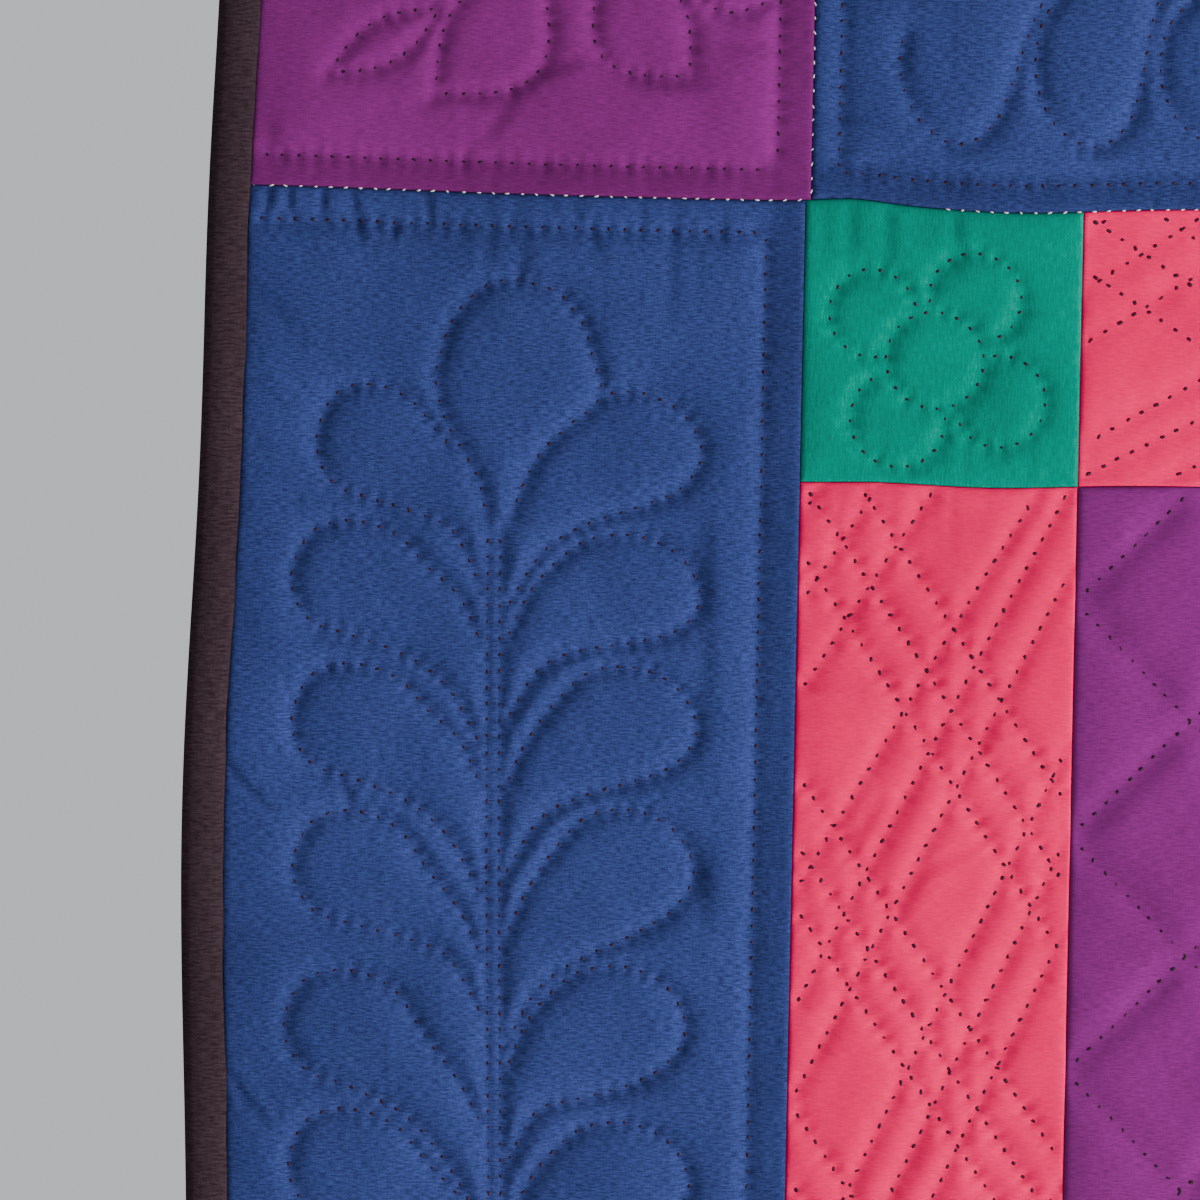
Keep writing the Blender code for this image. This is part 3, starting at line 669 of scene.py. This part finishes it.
def cotton(name, dark, light, thread_scale=2300.0, slub=420.0, turned=False, bump=0.25):
    """A cotton cloth: two tones of its colour by thread and by blotch, and the weave's relief.

    A mesh attribute darkens its colour: painted shade in the creases, and a darker band along the seams
    where a seam's cloth is turned under it."""
    material = bpy.data.materials.new(name)
    material.use_nodes = True
    nodes, links = material.node_tree.nodes, material.node_tree.links
    shader = with_values(nodes["Principled BSDF"], {"Roughness": 0.9, "Specular IOR Level": 0.0})
    place = nodes.new("ShaderNodeTexCoord")
    quarter = math.radians(90) if turned else 0
    turn = with_values(nodes.new("ShaderNodeMapping"), {"Rotation": (0, quarter, 0)})
    weave = nodes.new("ShaderNodeGroup")
    weave.node_tree = WEAVE
    with_values(weave, {"Thread Scale": thread_scale, "Slub Length": slub})
    links.new(place.outputs["Object"], turn.inputs["Vector"])
    links.new(turn.outputs["Vector"], weave.inputs["Vector"])
    tone = with_values(nodes.new("ShaderNodeMapRange"), {"From Min": 0.38, "From Max": 0.62})
    links.new(weave.outputs["Threads"], tone.inputs["Value"])
    by_thread = nodes.new("ShaderNodeMix")
    by_thread.data_type = "RGBA"
    with_values(by_thread, {"A": (*dark, 1), "B": (*light, 1)})
    links.new(tone.outputs["Result"], by_thread.inputs["Factor"])
    by_blotch = nodes.new("ShaderNodeMix")
    by_blotch.data_type = "RGBA"
    by_blotch.blend_type = "MULTIPLY"
    fade = with_values(nodes.new("ShaderNodeMapRange"),
                       {"From Min": 0.3, "From Max": 0.7, "To Min": 0.88, "To Max": 1.08})
    links.new(weave.outputs["Blotch"], fade.inputs["Value"])
    # Painted shade: the mesh attribute darkens the colour, down to 0.76, in creases and in the turned-under
    # seam bands
    band = nodes.new("ShaderNodeAttribute")
    band.attribute_name = "painted_shade_and_seam_band"
    painted_shade_and_seam_band = with_values(nodes.new("ShaderNodeMapRange"), {"To Min": 1.0, "To Max": 0.76})
    links.new(band.outputs["Fac"], painted_shade_and_seam_band.inputs["Value"])
    share = nodes.new("ShaderNodeMath")
    share.operation = "MULTIPLY"
    links.new(fade.outputs["Result"], share.inputs[0])
    links.new(painted_shade_and_seam_band.outputs["Result"], share.inputs[1])
    by_blotch.inputs["Factor"].default_value = 1.0
    links.new(by_thread.outputs["Result"], by_blotch.inputs["A"])
    links.new(share.outputs[0], by_blotch.inputs["B"])
    links.new(by_blotch.outputs["Result"], shader.inputs["Base Color"])
    relief = with_values(nodes.new("ShaderNodeBump"), {"Strength": bump, "Distance": 0.0003})
    links.new(weave.outputs["Height"], relief.inputs["Height"])
    links.new(relief.outputs["Normal"], shader.inputs["Normal"])
    return material


STITCH_INSET = 1.2
REAR_STEP = 30.0
# Length, width and height of a quilting stitch
STITCH = (1.15, 0.60, 0.13)
STITCH_RINGS = (-0.55, 0.55)


def filled_patch(name, box, lines, step, material, seed, gathers=(), creases=(), ridges=(),
                 stitch=STITCH, loft=LOFT):
    """A wadded patch, closed behind, with its quilting stitches; it takes its solid's place."""
    low_u, high_u, low_v, high_v = np.array(box) + SEAM_GAP / 2 * np.array((1, -1, 1, -1))
    inside = (low_u + STITCH_INSET, high_u - STITCH_INSET, low_v + STITCH_INSET, high_v - STITCH_INSET)
    runs = [run for line in lines for run in clipped(line, inside)]
    columns, rows = spread(low_u, high_u, step[0]), spread(low_v, high_v, step[1])
    band = turned_under(columns, rows, ridges)
    dip, painted_crease_shade = crease_field(columns, rows, creases)
    thick = thickness_of(columns, rows, runs, loft, band, dip, gathers, seed)
    u, v = np.meshgrid(columns, rows)
    flat = np.column_stack((u.ravel(), v.ravel()))
    front = settle(flat, PATCH_REAR - thick.ravel())
    quads, rim = grid_faces(len(rows), len(columns))
    rear_flat, rear_faces, rear_rim = coarse_side(flat[rim], REAR_STEP)
    rear = settle(rear_flat, PATCH_REAR)
    under = rear_rim + len(front)
    wall = np.column_stack((rim, under, np.roll(under, -1), np.roll(rim, -1)))
    faces = quads.tolist() + wall.tolist() + (rear_faces[:, ::-1] + len(front)).tolist()
    patch = closed_mesh(name + "_cloth", np.vstack((front, rear)), faces)
    # Painted shade in the creases, with the darker seam bands, stored on the mesh to darken its colour
    painted_shade_and_seam_band = np.append(np.maximum(band, painted_crease_shade).ravel(), np.zeros(len(rear)))
    patch.data.attributes.new("painted_shade_and_seam_band", "FLOAT", "POINT").data.foreach_set("value", painted_shade_and_seam_band)
    patch.data.materials.append(material)
    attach(patch, "root")
    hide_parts(name)
    draw = np.random.default_rng(seed)
    middles, ways = stitch_places(runs, STITCH_PITCH, 0.5, draw)
    depth = PATCH_REAR - between(thick, columns, rows, middles)
    bits = thread_bits("quilting_" + name, middles, depth, ways, *stitch, -1, STITCH_RINGS, draw)
    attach(bits, "root")
    sewn.extend(runs)
    stitches_of[name] = bits


def laid(side, out, level):
    """Flat points on one side of the quilt, by their distance outwards from its middle, and their
    place from the middle of that side, to the right or upwards."""
    if side in ("left", "bottom"):
        out = -out
    if side in ("left", "right"):
        return np.column_stack((out, level - HALF))
    return np.column_stack((level, out - HALF))


def strip_place(side, middle_across):
    """The function that lays (along, across) of a strip on the flat quilt, for one side."""
    def place(line):
        along, across = line[:, 0], line[:, 1]
        level = OUTER_SEAM - along if side in ("left", "right") else along - OUTER_SEAM
        return laid(side, middle_across - across, level)
    return place


def side_box(side, near, far, ends):
    """The flat box of a strip between two distances from the middle, with its two ends."""
    corners = laid(side, np.array((near, far)), np.array(ends))
    (low_u, low_v), (high_u, high_v) = corners.min(axis=0).tolist(), corners.max(axis=0).tolist()
    return low_u, high_u, low_v, high_v


CORNER_STEPS = {"upper_left": 1.1, "upper_right": -0.8, "lower_left": 0.9, "lower_right": -1.2}
# Width and depth of a sharp crease, of a soft one and of a broad one; the depth also sets how dark the
# painted shade in it is
SHARP = (1.1, 1.0)
SOFT = (1.8, 0.45)
BROAD = (2.6, 0.6)
# Creases of the left strip, by the places they run through; the seam above it draws most in
LEFT_CREASES = (
    (((-340.7, -123.9), (-340.8, -129.2)), *SHARP),
    (((-336.7, -123.9), (-336.4, -130.1)), *SHARP),
    (((-329.6, -124.3), (-329.7, -131.0)), *SHARP),
    (((-323.8, -124.2), (-322.9, -128.8), (-321.7, -135.0)), *SHARP),
    (((-308.8, -124.3), (-307.0, -129.9)), *SHARP),
    (((-314.5, -130.7), (-314.6, -134.0)), *SHARP),
    (((-345.3, -242.2), (-341.0, -247.5), (-336.1, -252.0)), *SHARP),
    (((-321.4, -246.7), (-319.0, -252.3)), *SHARP),
    (((-295.9, -123.4), (-295.3, -133.4), (-295.5, -141.7)), *SOFT),
    (((-299.9, -129.3), (-299.6, -133.5)), *SOFT),
    (((-289.6, -125.0), (-289.3, -131.2)), *SOFT),
    (((-288.0, -133.3), (-288.2, -141.6)), *SOFT),
    (((-277.5, -124.3), (-277.0, -130.9)), *SOFT),
    (((-274.1, -129.8), (-272.5, -137.5)), *SOFT),
    (((-264.0, -125.0), (-263.4, -130.2)), *SOFT),
    (((-256.9, -124.3), (-257.2, -130.5), (-257.2, -148.7)), *SOFT),
    (((-247.3, -127.0), (-247.2, -131.6)), *SOFT),
    (((-343.8, -145.5), (-338.3, -149.3), (-333.6, -155.5)), *SOFT),
    (((-343.0, -163.2), (-336.4, -169.3)), *SOFT),
    (((-343.8, -308.0), (-340.5, -313.5), (-336.5, -318.0)), *SHARP),
    (((-250.1, -190.8), (-249.3, -207.5)), *BROAD),
    (((-249.0, -211.8), (-248.6, -229.7)), *BROAD),
    (((-248.4, -259.5), (-248.5, -276.2)), *BROAD),
)
TOP_CREASES = (
    (((-226.9, -106.1), (-221.0, -105.8), (-215.2, -106.3)), *SOFT),
    (((-218.3, -116.4), (-208.3, -114.9), (-193.3, -118.8)), *SOFT),
)
CREASES = {"left": LEFT_CREASES, "top": TOP_CREASES}
# The edge of each strip along its inner seam, where the seam's cloth is turned under it
SEAM_EDGE = {"left": "high_u", "top": "low_v", "right": "low_u", "bottom": "high_v"}
SEAM_WIDTH = 7.6
# How far each patch runs on under the binding, and the steps of the strips' meshes
TUCK = 0.9
STRIP_STEPS = {"left": (0.74, 0.9), "top": (1.1, 1.1)}
PLAIN_STEPS = (2.1, 2.1)
SIDES = ("left", "top", "right", "bottom")
BLUE = cotton("blue_cotton", (0.0107, 0.0162, 0.059), (0.0240, 0.0365, 0.131), 2900.0, slub=560.0)
for side in SIDES:
    ends = (-OUTER_SEAM, OUTER_SEAM)
    if side in ("top", "bottom"):
        row = "upper" if side == "top" else "lower"
        ends = (-OUTER_SEAM + CORNER_STEPS[row + "_left"], OUTER_SEAM + CORNER_STEPS[row + "_right"])
    place = strip_place(side, EDGE_SEAM - OUTER_BORDER / 2)
    box = side_box(side, OUTER_SEAM, EDGE_SEAM + TUCK, ends)
    gathers = gathers_round(box[1] - box[0], box[3] - box[2], 40)
    if side == "left":
        gathers.pop()
    filled_patch("outer_border_" + side, box, [place(line) for line in strip_lines(side)],
                 STRIP_STEPS.get(side, PLAIN_STEPS), BLUE, 11, gathers,
                 CREASES.get(side, ()), [(SEAM_EDGE[side], SEAM_WIDTH)])

# The outer corner blocks: squares of purple cotton with a rosette of pointed petals, and a
# straight row of stitches along the two seams that face the strips.

# Direction of each petal in degrees, its start, its reach, and its half width on either side
PETALS = (
    (231.7, 10.0, 44.1, 8.5, 13.5),
    (310.9, 10.0, 38.9, 11.5, 8.7),
    (42.0, 10.0, 42.0, 12.5, 11.0),
    (138.0, 10.0, 43.0, 11.5, 12.5),
    (212.0, 32.0, 58.5, 4.6, 4.6),
    (345.0, 24.0, 46.0, 7.0, 7.0),
    (90.0, 24.0, 48.0, 8.0, 8.0),
    (178.0, 24.0, 46.0, 8.0, 8.0),
)
ROSETTE = (51.4, 55.0)
ROSETTE_EYE = 8.0
BLOCK_ROWS = (7.1, 6.3)
ROW_SHORT = 2.5
# Soft creases of the upper left block, where it bulges between its petals and its rows
BLOCK_CREASES = (
    (((-311.0, -106.9), (-305.9, -103.8), (-297.8, -103.7), (-293.8, -104.8)), *SOFT),
    (((-298.0, -113.0), (-294.1, -109.2), (-292.1, -106.0), (-291.3, -102.8)), *SOFT),
    (((-291.3, -102.8), (-286.6, -98.6), (-278.5, -96.2), (-271.5, -95.2)), *SOFT),
    (((-273.3, -96.7), (-267.2, -98.6), (-260.7, -99.8), (-251.2, -100.0)), *SOFT),
    (((-248.2, -91.4), (-235.7, -92.4)), *SOFT),
    (((-342.0, -110.2), (-341.1, -115.8)), *SOFT),
)


def arc(centre, radius, start, end, step):
    """Points about every step along an arc, with its angles in degrees."""
    count = max(3, round(math.radians(abs(end - start)) * radius / step))
    angle = np.radians(np.linspace(start, end, count + 1))
    return np.array(centre) + radius * np.column_stack((np.cos(angle), np.sin(angle)))


def rosette_lines():
    """Quilting of a corner block, measured outwards from its corner nearest the middle."""
    lines = [arc(ROSETTE, ROSETTE_EYE, 0, 360, LINE_STEP)]
    for direction, start, reach, *half_widths in PETALS:
        angle = math.radians(180 - direction)
        axis = np.array((math.cos(angle), math.sin(angle)))
        across = np.array((-axis[1], axis[0]))
        t = np.linspace(0, 1, round((reach - start) / LINE_STEP) + 1)
        length = (start + (reach - start) * t)[:, None]
        bulge = np.sin(math.pi * t)[:, None]
        for turn, half_width in zip((1, -1), half_widths):
            lines.append(np.array(ROSETTE) + axis * length + across * turn * half_width * bulge)
    upright, level = BLOCK_ROWS
    lines.append(np.array(((upright + ROW_SHORT, level), (OUTER_BORDER, level))))
    lines.append(np.array(((upright, level + ROW_SHORT), (upright, OUTER_BORDER))))
    return lines


def outwards(corner):
    """Which way a corner lies from the middle, along u and along v: 1 or -1."""
    return 1 if corner.endswith("right") else -1, 1 if corner.startswith("upper") else -1


BLOCK_LOFT = 0.9
FINE_STEPS = (0.9, 0.9)
PURPLE = cotton("purple_cotton", (0.084, 0.0085, 0.073), (0.120, 0.0124, 0.104), 3300.0)
for number, (corner, step) in enumerate(CORNER_STEPS.items()):
    right, up = outwards(corner)
    spans = sorted((right * OUTER_SEAM + step, right * (EDGE_SEAM + TUCK)))
    heights = sorted((-HALF + up * OUTER_SEAM, -HALF + up * (EDGE_SEAM + TUCK)))
    lines = [line * (right, up) + (right * OUTER_SEAM + step, -HALF + up * OUTER_SEAM)
             for line in rosette_lines()]
    turned_sides = ("low_u" if right > 0 else "high_u", "low_v" if up > 0 else "high_v")
    filled_patch("outer_block_" + corner, (*spans, *heights), lines,
                 PLAIN_STEPS if number else FINE_STEPS, PURPLE, 21 + number,
                 gathers_round(OUTER_BORDER, OUTER_BORDER, 60), () if number else BLOCK_CREASES,
                 list(zip(turned_sides, BLOCK_ROWS)), loft=BLOCK_LOFT)

# The inner corner blocks: small squares of green cotton, quilted with an eye and four round
# petals that meet it.
FLOWER = (27.6, 32.1)
FLOWER_EYE = 10.2
# Turn of each petal's middle from the eye, its distance, and its radius
FLOWER_PETALS = (
    (59.2, 15.9, 9.6),
    (145.2, 16.0, 9.1),
    (239.2, 14.7, 9.9),
    (329.2, 15.8, 9.6),
)
PETAL_OPENING = 4.0
GREEN_CREASES = (
    (((-220.2, -124.5), (-220.0, -136.0)), *SOFT),
    (((-212.3, -124.4), (-212.0, -136.0)), *SOFT),
    (((-198.4, -124.1), (-198.1, -135.6)), *SOFT),
)


def flower_lines():
    """Quilting of an inner block, measured inwards from its outer corner: an eye, four petals."""
    lines = [arc(FLOWER, FLOWER_EYE, 0, 360, LINE_STEP)]
    for turn, reach, radius in FLOWER_PETALS:
        angle = math.radians(turn)
        centre = (FLOWER[0] + reach * math.cos(angle), FLOWER[1] - reach * math.sin(angle))
        meet = (reach ** 2 + radius ** 2 - FLOWER_EYE ** 2) / (2 * reach * radius)
        opening = math.degrees(math.acos(meet)) + PETAL_OPENING
        start = 180 - turn + opening
        lines.append(arc(centre, radius, start, start + 360 - 2 * opening, LINE_STEP))
    return lines


FLOWER_LOFT = 0.75
GREEN = cotton("green_cotton", (0.0, 0.098, 0.069), (0.0, 0.132, 0.094), 2600.0, turned=True)
for number, corner in enumerate(CORNER_STEPS):
    right, up = outwards(corner)
    spans = sorted((right * OUTER_SEAM, right * INNER_SEAM))
    heights = sorted((-HALF + up * OUTER_SEAM, -HALF + up * INNER_SEAM))
    lines = [line * (-right, -up) + (right * OUTER_SEAM, -HALF + up * OUTER_SEAM)
             for line in flower_lines()]
    filled_patch("inner_block_" + corner, (*spans, *heights), lines,
                 PLAIN_STEPS if number else FINE_STEPS, GREEN, 31 + number,
                 gathers_round(INNER_BORDER, INNER_BORDER, 70), () if number else GREEN_CREASES,
                 loft=FLOWER_LOFT)

# The inner border: four narrow strips of rose cotton, quilted in a lattice of three lines
# each way with open diamonds between them.

# Where each line of a set meets the outer seam, from the strip's end, and its slope
FALLING = (
    (-17.7, -0.8, 14.2, 0.675),
    (60.6, 75.0, 88.1, 0.71),
    (129.5, 145.0, 158.0, 0.70),
    (208.0, 223.0, 236.0, 0.68),
    (283.0, 298.0, 311.0, 0.68),
)
RISING = (
    (8.0, 27.2, 46.1, 0.62),
    (87.6, 0.57),
    (112.6, 131.5, 0.50),
    (175.8, 195.3, 214.5, 0.47),
    (256.0, 271.0, 287.0, 0.52),
    (334.0, 349.0, 366.0, 0.52),
    (412.0, 428.0, 444.0, 0.52),
)
ROSE_CREASES = (
    (((-204.0, -263.6), (-197.6, -261.0), (-191.4, -257.5)), *SOFT),
    (((-201.7, -262.7), (-205.7, -270.1), (-208.1, -274.3)), *SOFT),
    (((-211.4, -248.3), (-215.0, -254.7), (-217.4, -257.8)), *SOFT),
)
ROSE_STITCH = (1.35, 0.68, 0.15)


def lattice_lines():
    """Quilting of an inner strip, in (along, across) from its end and its outer seam."""
    lines = []
    for sets, way in ((FALLING, 1), (RISING, -1)):
        for *starts, slope in sets:
            for start in starts:
                lines.append(np.array(((start, 0.0), (start + way * INNER_BORDER / slope, INNER_BORDER))))
    return lines


ROSE_LOFT = 0.6
ROSE = cotton("rose_cotton", (0.43, 0.0, 0.050), (0.53, 0.0, 0.063), 2900.0)
for side in SIDES:
    place = strip_place(side, OUTER_SEAM)
    lines = [place(line + (INNER_BORDER, 0)) for line in lattice_lines()]
    box = side_box(side, INNER_SEAM, OUTER_SEAM, (-INNER_SEAM, INNER_SEAM))
    steps, creases = (FINE_STEPS, ROSE_CREASES) if side == "left" else (PLAIN_STEPS, ())
    filled_patch("inner_border_" + side, box, lines, steps, ROSE, 51,
                 gathers_round(box[1] - box[0], box[3] - box[2], 80), creases,
                 stitch=ROSE_STITCH, loft=ROSE_LOFT)

# The centre: one plain square of the corner blocks' purple cotton, quilted both ways in
# single straight lines that cross at right angles.
CENTRE_PITCH = 49.0
CENTRE_LINES = 14
centre_lines = []
for number in range(CENTRE_LINES):
    offset = (number - (CENTRE_LINES - 1) / 2) * CENTRE_PITCH
    for way in (-1, 1):
        centre_lines.append(np.array(((offset - CENTRE, -way * CENTRE - HALF),
                                      (offset + CENTRE, way * CENTRE - HALF))))
filled_patch("centre", side_box("top", -INNER_SEAM, INNER_SEAM, (-INNER_SEAM, INNER_SEAM)),
             centre_lines, PLAIN_STEPS, PURPLE, 61, gathers_round(CENTRE, CENTRE, 90))


# The quilting thread: dark brown cotton, in running stitches about 3.4 mm apart, taken by
# hand through all the layers.
def spun_thread(name, dark, light, mottle, roughness, specular):
    """A sewing thread: two tones of its colour, finely mottled."""
    material = bpy.data.materials.new(name)
    material.use_nodes = True
    nodes, links = material.node_tree.nodes, material.node_tree.links
    shader = with_values(nodes["Principled BSDF"], {"Roughness": roughness, "Specular IOR Level": specular})
    place = nodes.new("ShaderNodeTexCoord")
    noise = with_values(nodes.new("ShaderNodeTexNoise"), {"Scale": mottle})
    tone = nodes.new("ShaderNodeMix")
    tone.data_type = "RGBA"
    with_values(tone, {"A": (*dark, 1), "B": (*light, 1)})
    links.new(place.outputs["Object"], noise.inputs["Vector"])
    links.new(noise.outputs[0], tone.inputs["Factor"])
    links.new(tone.outputs["Result"], shader.inputs["Base Color"])
    return material


thread = spun_thread("quilting_thread", (0.009, 0.004, 0.008), (0.030, 0.012, 0.022), 900.0, 0.9, 0.05)
for bits in stitches_of.values():
    bits.data.materials.append(thread)

# The binding: dark brown cotton folded round the edge and sewn down, on each side a strip
# whose section is a thin U; the top and bottom ones run the whole width.
BROWN = cotton("brown_cotton", (0.013, 0.0076, 0.010), (0.027, 0.0168, 0.022), bump=0.2)
# Distance from the outer edge, y of the cloth's outer face
FOLD = ((8.75, -0.62), (8.3, -1.0), (6.9, -1.6), (4.5, -2.05), (2.2, -2.0), (0.8, -1.5), (0.1, -0.6),
        (0.1, 0.6), (0.8, 1.5), (2.2, 2.0), (4.5, 2.15), (7.0, 2.2), (8.8, 2.1), (9.1, 1.9))
FOLD_CLOTH = 0.5
FOLD_MIDDLE = (5.0, 0.1)
FOLD_STEP = 3.2
# Length and height of the small waves of the binding's edge, and of its fullness between its
# stitches, which the edge's waves shift along
FOLD_WAVES = ((17.0, 0.07), (31.0, 0.10), (53.0, 0.10))
FULLNESS = (9.3, 0.05)
FULLNESS_SHIFT = 9
for side in SIDES:
    edge = HALF if side in ("top", "bottom") else EDGE_SEAM - GAP / 2
    outer = np.array(FOLD)
    inward = np.array(FOLD_MIDDLE) - outer
    inner = outer + inward / np.linalg.norm(inward, axis=1)[:, None] * FOLD_CLOTH
    section = np.vstack((outer, inner[::-1]))
    along = np.linspace(-edge, edge, round(2 * edge / FOLD_STEP) + 1)
    size = len(section)
    station = np.repeat(along, size)
    draw = np.random.default_rng(5)
    wave = sum(high * np.sin(2 * math.pi * along / long + draw.uniform(0, 6)) for long, high in FOLD_WAVES)
    across = np.tile(section[:, 0], len(along))
    across = across * (1 + np.repeat(wave, size) / BINDING)
    puff = 1 + FULLNESS[1] * np.sin(2 * math.pi * along / FULLNESS[0] + wave * FULLNESS_SHIFT)
    depth = np.tile(section[:, 1], len(along)) * np.repeat(puff, size)
    points = settle(laid(side, HALF - across, station), depth)
    ring = np.arange(size)
    start = (np.arange(len(along) - 1) * size)[:, None]
    a, b = start + ring, start + np.roll(ring, -1)
    faces = np.stack((a, b, b + size, a + size), -1).reshape(-1, 4)
    half = len(outer)
    caps = [[i, size - 1 - i, size - 2 - i, i + 1] for i in range(half - 1)]
    last = (len(along) - 1) * size
    caps += [[last + i for i in face[::-1]] for face in caps]
    faces = faces.tolist() + caps
    if side in ("right", "bottom"):
        faces = [face[::-1] for face in faces]
    strip = closed_mesh("binding_" + side + "_fold", points, faces)
    strip.data.materials.append(BROWN)
    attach(strip, "root")
    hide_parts("binding_" + side)

# The back cloth: one plain sheet of the same brown cotton behind all the patches. The
# quilting draws it in, and its stitches show on it between those of the front.
REAR = 2.0
BACK_CLOTH = 1.0
BACK_STEP = 3.4
HIDDEN_STEP = 40.0
# How far stitches draw the back cloth in, and how it swells and rumples between them
DRAWN_IN = 0.2
BACK_SWELL = 0.5
BACK_TROUGH = 3.0
BACK_RUMPLE = 0.5
REAR_STITCH = (1.3, 0.6, 0.2)
back_edge = EDGE_SEAM - GAP / 2
columns = spread(-back_edge, back_edge, BACK_STEP)
rows = columns - HALF
near = stitch_field(columns, rows, sewn)[0]
u, v = np.meshgrid(columns, rows)
swell = BACK_SWELL * near ** 2 / (near ** 2 + BACK_TROUGH ** 2) + BACK_RUMPLE * rumple(u, v, 3)
flat = np.column_stack((u.ravel(), v.ravel()))
rear = settle(flat, REAR + swell.ravel() - DRAWN_IN)
quads, rim = grid_faces(len(rows), len(columns))
front_flat, front_faces, front_rim = coarse_side(flat[rim], HIDDEN_STEP)
front = settle(front_flat, REAR - BACK_CLOTH)
under = front_rim + len(rear)
wall = np.column_stack((rim, np.roll(rim, -1), np.roll(under, -1), under))
faces = quads[:, ::-1].tolist() + wall.tolist() + (front_faces + len(rear)).tolist()
back = closed_mesh("back_cloth_sheet", np.vstack((rear, front)), faces)
back.data.materials.append(BROWN)
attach(back, "root")
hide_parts("back_cloth")
draw = np.random.default_rng(8)
middles, ways = stitch_places(sewn, STITCH_PITCH, 0.95, draw)
depth = REAR - DRAWN_IN + between(swell, columns, rows, middles)
rear_bits = thread_bits("quilting_rear", middles, depth, ways, *REAR_STITCH, 1, (0.0,), draw)
rear_bits.data.materials.append(thread)
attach(rear_bits, "root")

# The seam stitches: white cotton whip stitches that show as dots along some of the seams of
# the upper left corner block and the strip beside it.
white = spun_thread("seam_thread", (0.34, 0.26, 0.30), (0.62, 0.52, 0.56), 700.0, 0.65, 0.5)
WHIP_PITCH = 3.05
WHIP_STITCH = (1.0, 0.32, 0.12)
WHIP_DEPTH = 0.98
# The upper strip's own row starts this far from its end
WHIP_FROM = 28.0
corner_u = -OUTER_SEAM + CORNER_STEPS["upper_left"]
seam_v = -HALF + OUTER_SEAM
whipped = [np.array(((-EDGE_SEAM + 2, seam_v), (corner_u, seam_v))),
           np.array(((corner_u, seam_v), (corner_u, -BINDING))),
           np.array(((-OUTER_SEAM + WHIP_FROM, seam_v), (OUTER_SEAM, seam_v)))]
draw = np.random.default_rng(9)
middles, ways = stitch_places(whipped, WHIP_PITCH, 0.5, draw)
depth = np.full(len(middles), PATCH_REAR - WHIP_DEPTH)
whip = thread_bits("seam_stitches", middles, depth, ways, *WHIP_STITCH, -1, STITCH_RINGS, draw)
whip.data.materials.append(white)
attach(whip, "root")
